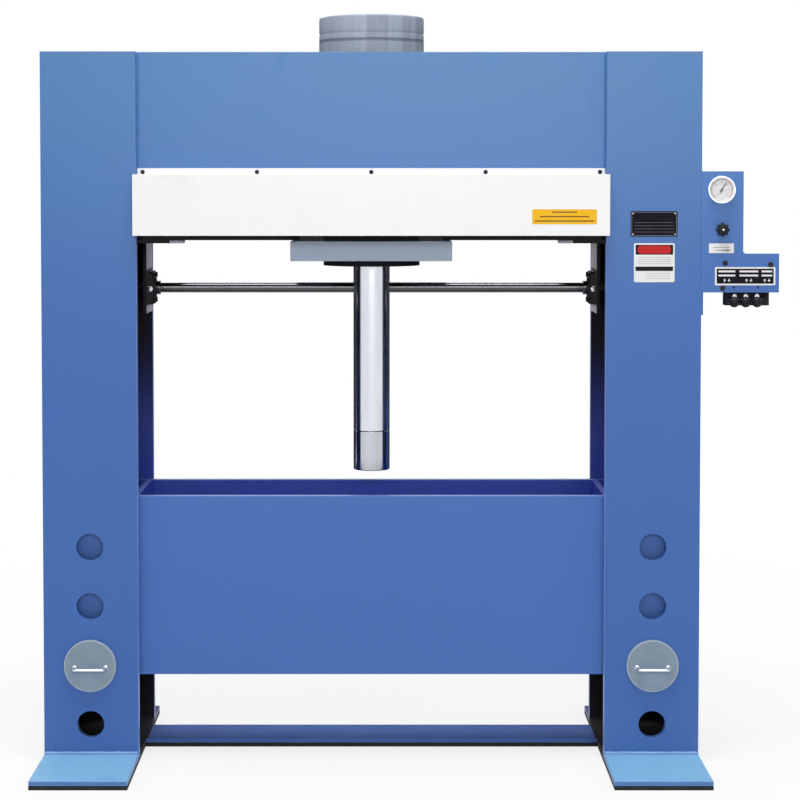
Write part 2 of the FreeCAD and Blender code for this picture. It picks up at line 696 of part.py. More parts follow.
def bearing_bolts():
    x0 = INNER_X - BEARING_FLANGE_THICKNESS
    bolts = []
    for shank in bearing_bolt_shanks(x0, INNER_X + BEARING_PLATE):
        centre = shank.CenterOfMass
        head = hexagon_x(BEARING_BOLT_RADIUS * 1.8, x0 - BOLT_HEAD_HEIGHT, x0, centre.y, centre.z)
        bolts.append(join([head, shank]))
    return Part.makeCompound([mirrored(bolt) for bolt in bolts] + bolts)


def lift_barrel():
    """Lifting cylinder that hangs in the right column, with its oil port at the rod end."""
    low = LIFT_BARREL_LOW_Z
    high = LIFT_BARREL_TOP_Z
    outside = rod_z(LIFT_BARREL_RADIUS, low, high, LIFT_X, LIFT_Y)
    port_z = low + LIFT_GLAND + LIFT_ROD_RADIUS
    port = rod_x(PORT_BORE * 1.5, LIFT_X, LIFT_X + LIFT_BARREL_RADIUS + PORT_LENGTH, LIFT_Y, port_z)
    bore = rod_z(LIFT_BORE_RADIUS, low + LIFT_GLAND, high - LIFT_END, LIFT_X, LIFT_Y)
    guide = rod_z(LIFT_ROD_RADIUS + RUNNING_GAP, low - OVERRUN, high - LIFT_END, LIFT_X, LIFT_Y)
    feed = rod_x(PORT_BORE / 2, LIFT_X, OUTER_X, LIFT_Y, port_z)
    return join([outside, port]).cut(bore).cut(guide).cut(feed)


def lift_rod():
    """Rod with its piston, bolted to the table's bridge by a nut."""
    nut_z = BRIDGE_TOP_Z - BRIDGE_THICKNESS
    rod = rod_z(LIFT_ROD_RADIUS, nut_z - LIFT_NUT, LIFT_PISTON_Z, LIFT_X, LIFT_Y)
    piston = rod_z(LIFT_BORE_RADIUS - WORKING_GAP, LIFT_PISTON_Z, LIFT_PISTON_Z + LIFT_PISTON, LIFT_X, LIFT_Y)
    nut = rod_z(LIFT_NUT_RADIUS, nut_z - LIFT_NUT, nut_z, LIFT_X, LIFT_Y)
    collar = rod_z(LIFT_NUT_RADIUS, BRIDGE_TOP_Z, BRIDGE_TOP_Z + LIFT_NUT / 2, LIFT_X, LIFT_Y)
    return join([rod, piston, nut, collar])


# ---------------------------------------------------------------- carriage and cylinder

def roller_arm(side_x):
    """Upright plate at the front edge of the carriage, with a stub axle for a roller."""
    x0 = side_x - ARM_WIDTH / 2
    x1 = side_x + ARM_WIDTH / 2
    arm_y = -CARRIAGE_FACE_Y + ARM_THICKNESS
    plate = block(x0, x1, -CARRIAGE_FACE_Y, arm_y, CARRIAGE_LOW_Z + CARRIAGE_HEIGHT / 2,
                  AXLE_Z + ARM_ABOVE_AXLE)
    roller_y = -ROLLER_INNER_Y - ROLLER_WIDTH
    shoulder = rod_y(AXLE_RADIUS + AXLE_HEAD, arm_y, roller_y - WORKING_GAP, side_x, AXLE_Z)
    axle = rod_y(AXLE_RADIUS, arm_y, -ROLLER_INNER_Y, side_x, AXLE_Z)
    return join([plate, shoulder, axle])


def carriage():
    """Thick plate under the head that the cylinder stands in, with four roller arms."""
    half = CARRIAGE_WIDTH / 2
    plate = block(-half, half, -CARRIAGE_FACE_Y, CARRIAGE_FACE_Y, CARRIAGE_LOW_Z, CARRIAGE_TOP_Z)
    front_arms = [roller_arm(-ARM_SPREAD), roller_arm(ARM_SPREAD)]
    rear_arms = [arm.mirror(Vec(0, 0, 0), AXIS_Y) for arm in front_arms]
    body = join([plate] + front_arms + rear_arms)
    return body.cut(rod_z(SPIGOT_RADIUS, CARRIAGE_LOW_Z - OVERRUN, CARRIAGE_TOP_Z + OVERRUN, 0, 0))


def rollers(x):
    """Front and rear roller on one axis."""
    front = rod_y(ROLLER_RADIUS, -ROLLER_INNER_Y - ROLLER_WIDTH, -ROLLER_INNER_Y, x, AXLE_Z)
    front = front.makeChamfer(ROLLER_EDGE, front.Edges[:1] + front.Edges[2:])
    front = front.cut(rod_y(AXLE_RADIUS + RUNNING_GAP, -CARRIAGE_FACE_Y, 0, x, AXLE_Z))
    return Part.makeCompound([front, front.mirror(Vec(0, 0, 0), AXIS_Y)])


def gland_bolt_places():
    angles = [2 * math.pi * (i + 0.5) / GLAND_BOLTS for i in range(GLAND_BOLTS)]
    return [(GLAND_BOLT_CIRCLE * math.cos(a), GLAND_BOLT_CIRCLE * math.sin(a)) for a in angles]


def gland_bolt_holes():
    low = CARRIAGE_LOW_Z - GLAND_THICKNESS
    holes = []
    for x, y in gland_bolt_places():
        holes.append(rod_z(GLAND_BOLT_RADIUS, low, low + GLAND_BOLT_LENGTH, x, y))
        holes.append(rod_z(GLAND_HEAD_RADIUS, low - OVERRUN, low + GLAND_HEAD_HEIGHT, x, y))
    return holes


def cylinder_barrel():
    """Thick-walled barrel with a spigot through the carriage and two oil ports on its right."""
    body = rod_z(BARREL_RADIUS, CARRIAGE_TOP_Z, CAP_JOINT_Z, 0, 0)
    spigot = rod_z(SPIGOT_RADIUS, CARRIAGE_LOW_Z, CARRIAGE_TOP_Z, 0, 0)
    port_heights = (BARREL_FLOOR_Z + PORT_RADIUS, CAP_JOINT_Z - CAP_PLUG - PORT_RADIUS * 2)
    ports = [rod_x(PORT_RADIUS, BORE_RADIUS, BARREL_RADIUS + PORT_LENGTH, 0, z) for z in port_heights]
    whole = join([body, spigot] + ports)
    whole = whole.cut(rod_z(BORE_RADIUS, BARREL_FLOOR_Z, CAP_JOINT_Z + OVERRUN, 0, 0))
    whole = whole.cut(rod_z(BUSH_RADIUS, CARRIAGE_LOW_Z - OVERRUN, BARREL_FLOOR_Z + OVERRUN, 0, 0))
    for z in port_heights:
        whole = whole.cut(rod_x(PORT_BORE, 0, BARREL_RADIUS + PORT_LENGTH + OVERRUN, 0, z))
    for hole in gland_bolt_holes():
        whole = whole.cut(hole)
    return whole


def turned_z(points):
    """A solid turned about the cylinder's axis from (radius, z) points."""
    corners = [Vec(radius, 0, z) for radius, z in points]
    outline = Part.makePolygon(corners + corners[:1])
    return Part.Face(outline).revolve(Vec(0, 0, 0), AXIS_Z, 360)


def cylinder_cap():
    """Round cap with a groove at its joint, a shallow band round it and a broken top edge."""
    low = CAP_JOINT_Z
    band = low + CAP_BAND_Z
    plug = BORE_RADIUS
    return turned_z([
        (0, low - CAP_PLUG), (plug, low - CAP_PLUG), (plug, low), (BARREL_RADIUS - CAP_GROOVE, low),
        (BARREL_RADIUS - CAP_GROOVE, low + CAP_GROOVE_WIDTH), (BARREL_RADIUS, low + CAP_GROOVE_WIDTH),
        (BARREL_RADIUS, band), (BARREL_RADIUS - CAP_BAND_DEPTH, band + CAP_BAND_DEPTH),
        (BARREL_RADIUS - CAP_BAND_DEPTH, band + CAP_BAND_WIDTH - CAP_BAND_DEPTH),
        (BARREL_RADIUS, band + CAP_BAND_WIDTH), (BARREL_RADIUS, CAP_TOP_Z - CAP_EDGE),
        (BARREL_RADIUS - CAP_EDGE / 3, CAP_TOP_Z - CAP_EDGE / 3), (BARREL_RADIUS - CAP_EDGE, CAP_TOP_Z),
        (0, CAP_TOP_Z)])


def gland_flange():
    """Ring under the carriage, bolted to the barrel, that the ram comes out of."""
    low = CARRIAGE_LOW_Z - GLAND_THICKNESS
    ring = rod_z(GLAND_RADIUS, low, CARRIAGE_LOW_Z, 0, 0)
    ring = ring.cut(rod_z(RAM_RADIUS + WORKING_GAP, low - OVERRUN, CARRIAGE_LOW_Z + OVERRUN, 0, 0))
    for hole in gland_bolt_holes():
        ring = ring.cut(hole)
    return ring


def flange_bolts():
    """Socket screws sunk in the ring."""
    low = CARRIAGE_LOW_Z - GLAND_THICKNESS
    bolts = []
    for x, y in gland_bolt_places():
        shank = rod_z(GLAND_BOLT_RADIUS, low + GLAND_HEAD_SUNK, low + GLAND_BOLT_LENGTH, x, y)
        head = rod_z(GLAND_HEAD_RADIUS, low + GLAND_HEAD_SUNK, low + GLAND_HEAD_HEIGHT, x, y)
        socket = rod_z(GLAND_BOLT_RADIUS * 0.8, low, low + GLAND_HEAD_HEIGHT / 2, x, y)
        bolts.append(join([shank, head]).cut(socket))
    return Part.makeCompound(bolts)


def gland_bush():
    """Bush in the barrel's lower end that guides the ram."""
    bush = rod_z(BUSH_RADIUS, CARRIAGE_LOW_Z, BARREL_FLOOR_Z, 0, 0)
    return bush.cut(rod_z(RAM_RADIUS + RUNNING_GAP, CARRIAGE_LOW_Z - OVERRUN, BARREL_FLOOR_Z + OVERRUN, 0, 0))


def ram():
    """Polished rod, bored at its tip for the stem of the nose."""
    rod = rod_z(RAM_RADIUS, NOSE_TOP_Z, PISTON_LOW_Z, 0, 0)
    return rod.cut(rod_z(NOSE_STEM_RADIUS, NOSE_TOP_Z - OVERRUN, NOSE_TOP_Z + NOSE_STEM, 0, 0))


def ram_nose():
    """Pressing nose with a groove at its joint, held by a stem in the ram."""
    return turned_z([
        (0, RAM_TIP_Z), (RAM_RADIUS - NOSE_EDGE, RAM_TIP_Z), (RAM_RADIUS, RAM_TIP_Z + NOSE_EDGE),
        (RAM_RADIUS, NOSE_TOP_Z - NOSE_GROOVE), (RAM_RADIUS - NOSE_GROOVE, NOSE_TOP_Z - NOSE_GROOVE),
        (RAM_RADIUS - NOSE_GROOVE, NOSE_TOP_Z), (NOSE_STEM_RADIUS, NOSE_TOP_Z),
        (NOSE_STEM_RADIUS, NOSE_TOP_Z + NOSE_STEM), (0, NOSE_TOP_Z + NOSE_STEM)])


def piston():
    """Piston with two ring grooves."""
    radius = BORE_RADIUS - WORKING_GAP
    root = radius - PISTON_RING_DEPTH
    low = PISTON_LOW_Z
    high = low + PISTON_HEIGHT
    third = PISTON_HEIGHT / 3
    return turned_z([
        (0, low), (radius, low), (radius, low + third - PISTON_RING), (root, low + third - PISTON_RING),
        (root, low + third), (radius, low + third), (radius, high - third), (root, high - third),
        (root, high - third + PISTON_RING), (radius, high - third + PISTON_RING), (radius, high), (0, high)])


# ---------------------------------------------------------------- control panel

def panel_solid(y0, y1, inset):
    """The panel's L shape between two depths, drawn in by an inset on its free sides."""
    left = OUTER_X
    upper = left + PANEL_UPPER_WIDTH - inset
    lower = left + PANEL_LOWER_WIDTH - inset
    high = block(left, upper, y0, y1, PANEL_LOW_Z + inset, PANEL_TOP_Z - inset)
    low = block(left, lower, y0, y1, PANEL_LOW_Z + inset, PANEL_STEP_Z - inset)
    return join([high, low])


def control_panel():
    """L-shaped front with returned edges and a strap on the column's side."""
    skin = panel_solid(FRONT_Y, FRONT_Y + PANEL_RETURN, 0)
    corner = [edge for edge in skin.Edges if on_corner(edge, OUTER_X + PANEL_UPPER_WIDTH, PANEL_STEP_Z)]
    skin = skin.makeFillet(PANEL_CORNER, corner)
    hollow = panel_solid(FRONT_Y + PANEL_SHEET, FRONT_Y + PANEL_RETURN + OVERRUN, PANEL_SHEET)
    strap = block(OUTER_X, OUTER_X + PANEL_SHEET, FRONT_Y, FRONT_Y + PANEL_STRAP_DEPTH,
                  PANEL_LOW_Z - PANEL_STRAP_DROP, PANEL_TOP_Z)
    body = join([skin.cut(hollow), strap])
    back = FRONT_Y + PANEL_SHEET
    body = body.cut(rod_y(GAUGE_BODY_RADIUS, FRONT_Y - OVERRUN, back + OVERRUN, OUTER_X + GAUGE_X, GAUGE_Z))
    body = body.cut(rod_y(KNOB_NUT_RADIUS, FRONT_Y - OVERRUN, back + OVERRUN, OUTER_X + KNOB_X, KNOB_Z))
    slot = block(OUTER_X + VALVE_X - ROOM, OUTER_X + VALVE_X + VALVE_WIDTH + ROOM, back,
                 FRONT_Y + PANEL_RETURN + OVERRUN, PANEL_LOW_Z - OVERRUN, PANEL_LOW_Z + PANEL_SHEET + OVERRUN)
    return body.cut(slot)


def on_corner(edge, x, z):
    centre = edge.CenterOfMass
    return abs(centre.x - x) < 0.01 and abs(centre.z - z) < 0.01


def gauge_case():
    """Round case through the panel, with a rim round the recess for dial and glass."""
    x = OUTER_X + GAUGE_X
    front = FRONT_Y - GAUGE_PROUD
    rim = rod_y(GAUGE_RADIUS, front, FRONT_Y, x, GAUGE_Z)
    edge = min(rim.Edges, key=lambda item: item.CenterOfMass.y)
    rim = rim.makeFillet(GAUGE_RIM / 2, [edge])
    body = rod_y(GAUGE_BODY_RADIUS, FRONT_Y, FRONT_Y + GAUGE_BODY, x, GAUGE_Z)
    stem = rod_y(PORT_BORE, FRONT_Y + GAUGE_BODY, FRONT_Y + GAUGE_BODY + PORT_LENGTH, x, GAUGE_Z)
    recess = rod_y(GAUGE_RADIUS - GAUGE_RIM, front - OVERRUN, front + DIAL_RECESS, x, GAUGE_Z)
    return join([rim, body, stem]).cut(recess)


def gauge_dial():
    """Dial plate with the pin that the needle turns on."""
    x = OUTER_X + GAUGE_X
    floor = FRONT_Y - GAUGE_PROUD + DIAL_RECESS
    face = floor - DIAL_THICKNESS
    plate = rod_y(GAUGE_RADIUS - GAUGE_RIM, face, floor, x, GAUGE_Z)
    pin = rod_y(NEEDLE_PIN, face - NEEDLE_LIFT - NEEDLE_THICKNESS, face, x, GAUGE_Z)
    return join([plate, pin])


def gauge_glass():
    front = FRONT_Y - GAUGE_PROUD + GLASS_RECESS
    return rod_y(GAUGE_RADIUS - GAUGE_RIM, front, front + GLASS_THICKNESS, OUTER_X + GAUGE_X, GAUGE_Z)


def gauge_needle():
    """Flat pointer with a round hub, shown where the photograph has it."""
    x = OUTER_X + GAUGE_X
    face = FRONT_Y - GAUGE_PROUD + DIAL_RECESS - DIAL_THICKNESS
    y1 = face - NEEDLE_LIFT
    y0 = y1 - NEEDLE_THICKNESS
    hub = rod_y(NEEDLE_HUB, y0, y1, x, GAUGE_Z)
    outline = Part.makePolygon([
        Vec(x - NEEDLE_WIDTH, y0, GAUGE_Z - NEEDLE_TAIL), Vec(x + NEEDLE_WIDTH, y0, GAUGE_Z - NEEDLE_TAIL),
        Vec(x + NEEDLE_WIDTH / 4, y0, GAUGE_Z + NEEDLE_LENGTH),
        Vec(x - NEEDLE_WIDTH / 4, y0, GAUGE_Z + NEEDLE_LENGTH),
        Vec(x - NEEDLE_WIDTH, y0, GAUGE_Z - NEEDLE_TAIL)])
    pointer = Part.Face(outline).extrude(AXIS_Y * NEEDLE_THICKNESS)
    needle = join([hub, pointer]).cut(rod_y(NEEDLE_PIN + RUNNING_GAP, y0 - OVERRUN, y1 + OVERRUN, x, GAUGE_Z))
    needle.rotate(Vec(x, 0, GAUGE_Z), AXIS_Y, NEEDLE_REST_ANGLE)
    return needle


def pressure_knob():
    """Lobed knob with a stem into the valve behind the panel."""
    x = OUTER_X + KNOB_X
    back = FRONT_Y - KNOB_NUT - WORKING_GAP
    body = rod_y(KNOB_RADIUS - KNOB_LOBE_RADIUS / 2, back - KNOB_DEPTH, back, x, KNOB_Z)
    lobes = []
    for i in range(KNOB_LOBES):
        angle = 2 * math.pi * i / KNOB_LOBES
        reach = KNOB_RADIUS - KNOB_LOBE_RADIUS
        lobes.append(rod_y(KNOB_LOBE_RADIUS, back - KNOB_DEPTH, back,
                           x + reach * math.cos(angle), KNOB_Z + reach * math.sin(angle)))
    stem = rod_y(KNOB_STEM_RADIUS, back, back + KNOB_STEM, x, KNOB_Z)
    return join([body, stem] + lobes)


def relief_valve():
    """Pressure valve behind the panel; its nut holds it in the panel's hole."""
    x = OUTER_X + KNOB_X
    half = RELIEF_SIZE / 2
    body = block(x - half, x + half, FRONT_Y + PANEL_SHEET, FRONT_Y + PANEL_SHEET + RELIEF_DEPTH,
                 KNOB_Z - half, KNOB_Z + half)
    nut = rod_y(KNOB_NUT_RADIUS, FRONT_Y - KNOB_NUT, FRONT_Y + PANEL_SHEET, x, KNOB_Z)
    port = rod_z(PORT_BORE * 1.4, KNOB_Z - half - PORT_LENGTH / 2, KNOB_Z - half, x,
                 FRONT_Y + PANEL_SHEET + RELIEF_DEPTH / 2)
    bore_end = FRONT_Y - KNOB_NUT + KNOB_STEM + ROOM
    bore = rod_y(KNOB_STEM_RADIUS + RUNNING_GAP, FRONT_Y - KNOB_NUT - OVERRUN, bore_end, x, KNOB_Z)
    return join([body, nut, port]).cut(bore)


def lever_x(index):
    return OUTER_X + LEVER_FIRST_X + index * LEVER_PITCH


def lever_valve():
    """Valve block hung behind the panel, with eared nose for the levers and ports at its back."""
    x0 = OUTER_X + VALVE_X
    x1 = x0 + VALVE_WIDTH
    behind = FRONT_Y + PANEL_SHEET + VALVE_PANEL_GAP
    nose_y = FRONT_Y + VALVE_NOSE_SETBACK
    body = block(x0, x1, nose_y, behind + VALVE_DEPTH, VALVE_LOW_Z, VALVE_HIGH_Z)
    upper = block(x0, x1, behind, nose_y, PANEL_LOW_Z + PANEL_SHEET + ROOM, VALVE_HIGH_Z)
    pieces = [body, upper]
    for x in (x0 + LEVER_PITCH / 2, x1 - LEVER_PITCH / 2):
        pieces.append(rod_y(VALVE_SPACER_RADIUS, FRONT_Y + PANEL_SHEET, behind, x,
                            (PANEL_LOW_Z + VALVE_HIGH_Z) / 2))
    half_slot = LEVER_HUB_WIDTH / 2 + WORKING_GAP
    for index in range(LEVERS):
        x = lever_x(index)
        for inner in (x - half_slot - LEVER_EAR, x + half_slot):
            pieces.append(block(inner, inner + LEVER_EAR, nose_y - LEVER_EAR_REACH, nose_y,
                                LEVER_Z - LEVER_HUB_RADIUS, LEVER_Z + LEVER_HUB_RADIUS))
        pieces.append(rod_x(LEVER_PIN_RADIUS, x - half_slot - LEVER_EAR, x + half_slot + LEVER_EAR,
                            LEVER_Y, LEVER_Z))
        pieces.append(rod_y(PORT_BORE * 1.4, behind + VALVE_DEPTH, behind + VALVE_DEPTH + PORT_LENGTH,
                            x, (LEVER_Z + VALVE_HIGH_Z) / 2))
    return join(pieces)


def lever(index):
    """Lever with a hub on the valve's cross pin, a round rod and a ball knob."""
    x = lever_x(index)
    half = LEVER_HUB_WIDTH / 2
    hub = rod_x(LEVER_HUB_RADIUS, x - half, x + half, LEVER_Y, LEVER_Z)
    end_y = LEVER_Y - LEVER_LENGTH
    rod = rod_y(LEVER_ROD_RADIUS, end_y, LEVER_Y, x, LEVER_Z)
    ball = Part.makeSphere(LEVER_KNOB_RADIUS, Vec(x, end_y, LEVER_Z))
    bore = rod_x(LEVER_PIN_RADIUS + RUNNING_GAP, x - half - OVERRUN, x + half + OVERRUN, LEVER_Y, LEVER_Z)
    return join([hub, rod, ball]).cut(bore)


# ---------------------------------------------------------------- oil tank, motor and pump

def unit_bracket():
    """Welded console on the column's rear plate: back plate, pierced for the pins, shelf and two ribs."""
    side = TANK_X - BRACKET_SIDE_MARGIN
    right = TANK_X + TANK_WIDTH + BRACKET_SIDE_MARGIN
    low = TANK_Z - BRACKET_DROP
    back = block(side, OUTER_X, REAR_Y, REAR_Y + BRACKET_PLATE, low, TANK_Z)
    for z in pin_heights():
        back = back.cut(rod_y(PIN_RADIUS + ROOM, REAR_Y - OVERRUN, REAR_Y + BRACKET_PLATE + OVERRUN,
                              PIN_X, z))
    shelf = block(side, right, REAR_Y, TANK_Y + TANK_DEPTH, TANK_Z - BRACKET_PLATE, TANK_Z)
    ribs = []
    for x in (side + BRACKET_RIB_INSET, OUTER_X - BRACKET_RIB_INSET - BRACKET_PLATE):
        ribs.append(prism_x([(REAR_Y, low), (REAR_Y + BRACKET_PLATE * 2, low),
                             (TANK_Y + TANK_DEPTH, TANK_Z - BRACKET_PLATE * 2), (TANK_Y + TANK_DEPTH, TANK_Z),
                             (REAR_Y, TANK_Z)], x, x + BRACKET_PLATE))
    return join([back, shelf] + ribs)


def tank():
    """Open welded box of thin plate."""
    outside = block(TANK_X, TANK_X + TANK_WIDTH, TANK_Y, TANK_Y + TANK_DEPTH, TANK_Z, TANK_TOP_Z)
    inside = block(TANK_X + TANK_WALL, TANK_X + TANK_WIDTH - TANK_WALL, TANK_Y + TANK_WALL,
                   TANK_Y + TANK_DEPTH - TANK_WALL, TANK_Z + TANK_WALL, TANK_TOP_Z + OVERRUN)
    return outside.cut(inside)


def motor_centre():
    return TANK_X + MOTOR_X, TANK_Y + MOTOR_Y


def outlet_block():
    """Block on the lid with the outlets to the cylinders."""
    x = TANK_X + OUTLET_X
    y = TANK_Y + OUTLET_Y
    top = LID_TOP_Z + OUTLET_HEIGHT
    body = block(x - OUTLET_WIDTH / 2, x + OUTLET_WIDTH / 2, y - OUTLET_DEPTH / 2,
                 y + OUTLET_DEPTH / 2, LID_TOP_Z, top)
    for i in range(OUTLETS):
        port_y = y + (i - (OUTLETS - 1) / 2) * OUTLET_DEPTH / OUTLETS
        body = join([body, rod_z(PORT_RADIUS * 0.75, top, top + PORT_LENGTH, x, port_y)])
        body = body.cut(rod_z(PORT_BORE * 0.75, top, top + PORT_LENGTH + OVERRUN, x, port_y))
    return body


def tank_lid():
    """Lid with the filler neck, the outlet block and a hole for the pump."""
    x, y = motor_centre()
    over = LID_OVERHANG
    plate = block(TANK_X - over, TANK_X + TANK_WIDTH + over, TANK_Y - over, TANK_Y + TANK_DEPTH + over,
                  TANK_TOP_Z, LID_TOP_Z)
    neck = rod_z(NECK_RADIUS, LID_TOP_Z, LID_TOP_Z + NECK_HEIGHT, TANK_X + FILLER_X, TANK_Y + FILLER_Y)
    hole = rod_z(PUMP_RADIUS, TANK_TOP_Z - OVERRUN, LID_TOP_Z + OVERRUN, x, y)
    mouth = rod_z(NECK_RADIUS - TANK_WALL, TANK_TOP_Z - OVERRUN, LID_TOP_Z + NECK_HEIGHT + OVERRUN,
                  TANK_X + FILLER_X, TANK_Y + FILLER_Y)
    return join([plate, neck, outlet_block()]).cut(hole).cut(mouth)


def pump():
    """Pump hung through the lid into the oil, with its suction pipe."""
    x, y = motor_centre()
    low = LID_TOP_Z - PUMP_HEIGHT
    body = rod_z(PUMP_RADIUS, low, LID_TOP_Z, x, y)
    suction = rod_z(PUMP_SUCTION_RADIUS, low - PUMP_SUCTION, low, x, y)
    return join([body, suction])


def motor():
    """Upright motor: flange, finned housing, fan cover and terminal box with its cable inlet."""
    x, y = motor_centre()
    flange_top = LID_TOP_Z + MOTOR_FLANGE
    body_top = flange_top + MOTOR_HEIGHT
    pieces = [rod_z(MOTOR_FLANGE_RADIUS, LID_TOP_Z, flange_top, x, y),
              rod_z(MOTOR_RADIUS - FIN_HEIGHT, flange_top, body_top, x, y)]
    for i in range(MOTOR_FINS):
        fin = block(x, x + MOTOR_RADIUS, y - FIN_THICKNESS / 2, y + FIN_THICKNESS / 2,
                    flange_top + FIN_MARGIN, body_top - FIN_MARGIN)
        fin.rotate(Vec(x, y, 0), AXIS_Z, 360 * i / MOTOR_FINS)
        pieces.append(fin)
    cover = rod_z(MOTOR_RADIUS + FAN_COVER_STEP / 2, body_top, body_top + FAN_COVER_HEIGHT, x, y)
    edge = max(cover.Edges, key=lambda item: item.CenterOfMass.z)
    pieces.append(cover.makeFillet(FAN_COVER_STEP, [edge]))
    box_z = flange_top + MOTOR_HEIGHT / 2 - TERMINAL_HEIGHT / 2
    box_x = x + MOTOR_RADIUS - FIN_HEIGHT
    pieces.append(block(box_x - FIN_HEIGHT, box_x + TERMINAL_DEPTH, y - TERMINAL_WIDTH / 2,
                        y + TERMINAL_WIDTH / 2, box_z, box_z + TERMINAL_HEIGHT))
    pieces.append(rod_z(INLET_RADIUS, box_z - INLET_LENGTH, box_z, box_x + TERMINAL_DEPTH / 2, y))
    return join(pieces)


def filler_cap():
    """Breather cap over the filler neck, with grip ribs."""
    x = TANK_X + FILLER_X
    y = TANK_Y + FILLER_Y
    low = LID_TOP_Z + WORKING_GAP
    pieces = [rod_z(CAP_RADIUS, low, low + FILLER_CAP_HEIGHT, x, y)]
    for i in range(FILLER_RIBS):
        angle = 2 * math.pi * i / FILLER_RIBS
        pieces.append(rod_z(FILLER_RIB_RADIUS, low, low + FILLER_CAP_HEIGHT * 0.7,
                            x + CAP_RADIUS * math.cos(angle), y + CAP_RADIUS * math.sin(angle)))
    hollow = rod_z(NECK_RADIUS + WORKING_GAP, low - OVERRUN, LID_TOP_Z + NECK_HEIGHT + WORKING_GAP * 2, x, y)
    return join(pieces).cut(hollow)


# ---------------------------------------------------------------- all pieces

os.makedirs("parts", exist_ok=True)

right_column = column()
save("left_column", mirrored(right_column))
save("right_column", join([right_column, lift_shelf()]))
save("left_foot", mirrored(foot()))
save("right_foot", foot())
save("tie_bar", tie(PAD_THICKNESS, FOOT_TOP))
save("floor_pads", floor_pads())
save("head_front_plate", head_plate(-INSIDE_Y))
save("head_rear_plate", head_plate(HEAD_INSIDE_Y))
save("head_cross_plates", head_cross_plates())
save("carriage_rails", carriage_rails())
save("stop_plates", stop_plates())
save("stop_buffers", stop_buffers())
save("front_cover", front_cover())
save("cover_screws", cover_screws())

save("left_pin", mirrored(locking_pin()))
save("right_pin", locking_pin())
save("left_pin_handle", mirrored(pin_handle()))
save("right_pin_handle", pin_handle())

save("table_front_plate", table_plate(-TABLE_FACE_Y))
save("table_rear_plate", table_plate(TABLE_INSIDE_Y))
save("table_cross_plates", table_cross_plates())
save("lift_rod", lift_rod())
save("lift_barrel", lift_barrel())
save("left_chain", mirrored(chain()))
save("right_chain", chain())
save("cross_shaft", cross_shaft())
save("chain_wheels", both_sides(chain_wheel(SHAFT_Z, SHAFT_RADIUS)))
lower_wheel = chain_wheel(CHAIN_LOW_Z, STUB_RADIUS + RUNNING_GAP)
save("left_idler", mirrored(lower_wheel))
save("right_idler", lower_wheel)
save("bearing_plates", both_sides(bearing_plate()))
save("shaft_bearings", both_sides(shaft_bearing()))
save("bearing_bolts", bearing_bolts())

save("carriage", carriage())
save("left_rollers", rollers(-ARM_SPREAD))
save("right_rollers", rollers(ARM_SPREAD))
save("cylinder_barrel", cylinder_barrel())
save("cylinder_cap", cylinder_cap())
save("gland_flange", gland_flange())
save("flange_bolts", flange_bolts())
save("gland_bush", gland_bush())
save("ram", ram())
save("ram_nose", ram_nose())
save("piston", piston())

save("control_panel", control_panel())
save("gauge_case", gauge_case())
save("gauge_dial", gauge_dial())
save("gauge_glass", gauge_glass())
save("gauge_needle", gauge_needle())
save("pressure_knob", pressure_knob())
save("relief_valve", relief_valve())
save("lever_valve", lever_valve())
for index, name in enumerate(("left_lever", "middle_lever", "right_lever")):
    save(name, lever(index))

save("unit_bracket", unit_bracket())
save("tank", tank())
save("tank_lid", tank_lid())
save("pump", pump())
save("motor", motor())
save("filler_cap", filler_cap())
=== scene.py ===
import bmesh
import bpy
from math import cos, pi, radians, sin
from mathutils import Matrix, Vector


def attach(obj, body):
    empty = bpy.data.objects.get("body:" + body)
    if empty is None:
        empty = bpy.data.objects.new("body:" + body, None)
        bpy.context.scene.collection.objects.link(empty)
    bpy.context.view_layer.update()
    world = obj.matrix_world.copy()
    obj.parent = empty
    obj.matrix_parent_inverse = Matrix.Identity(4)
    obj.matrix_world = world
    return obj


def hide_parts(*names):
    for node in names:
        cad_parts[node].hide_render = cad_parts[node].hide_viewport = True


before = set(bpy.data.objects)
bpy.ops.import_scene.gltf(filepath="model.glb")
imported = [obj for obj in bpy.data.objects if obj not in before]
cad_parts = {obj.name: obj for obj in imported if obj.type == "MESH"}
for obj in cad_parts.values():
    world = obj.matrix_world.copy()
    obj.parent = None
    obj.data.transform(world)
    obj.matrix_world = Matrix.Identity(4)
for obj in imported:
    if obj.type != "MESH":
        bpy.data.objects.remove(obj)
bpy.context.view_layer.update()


# ---- Floor pads
# Strips of black rubber, 13 mm thick, laid loose under both feet and the tie bar. They are cut from
# moulded sheet with a knife, matt and a little dusty.

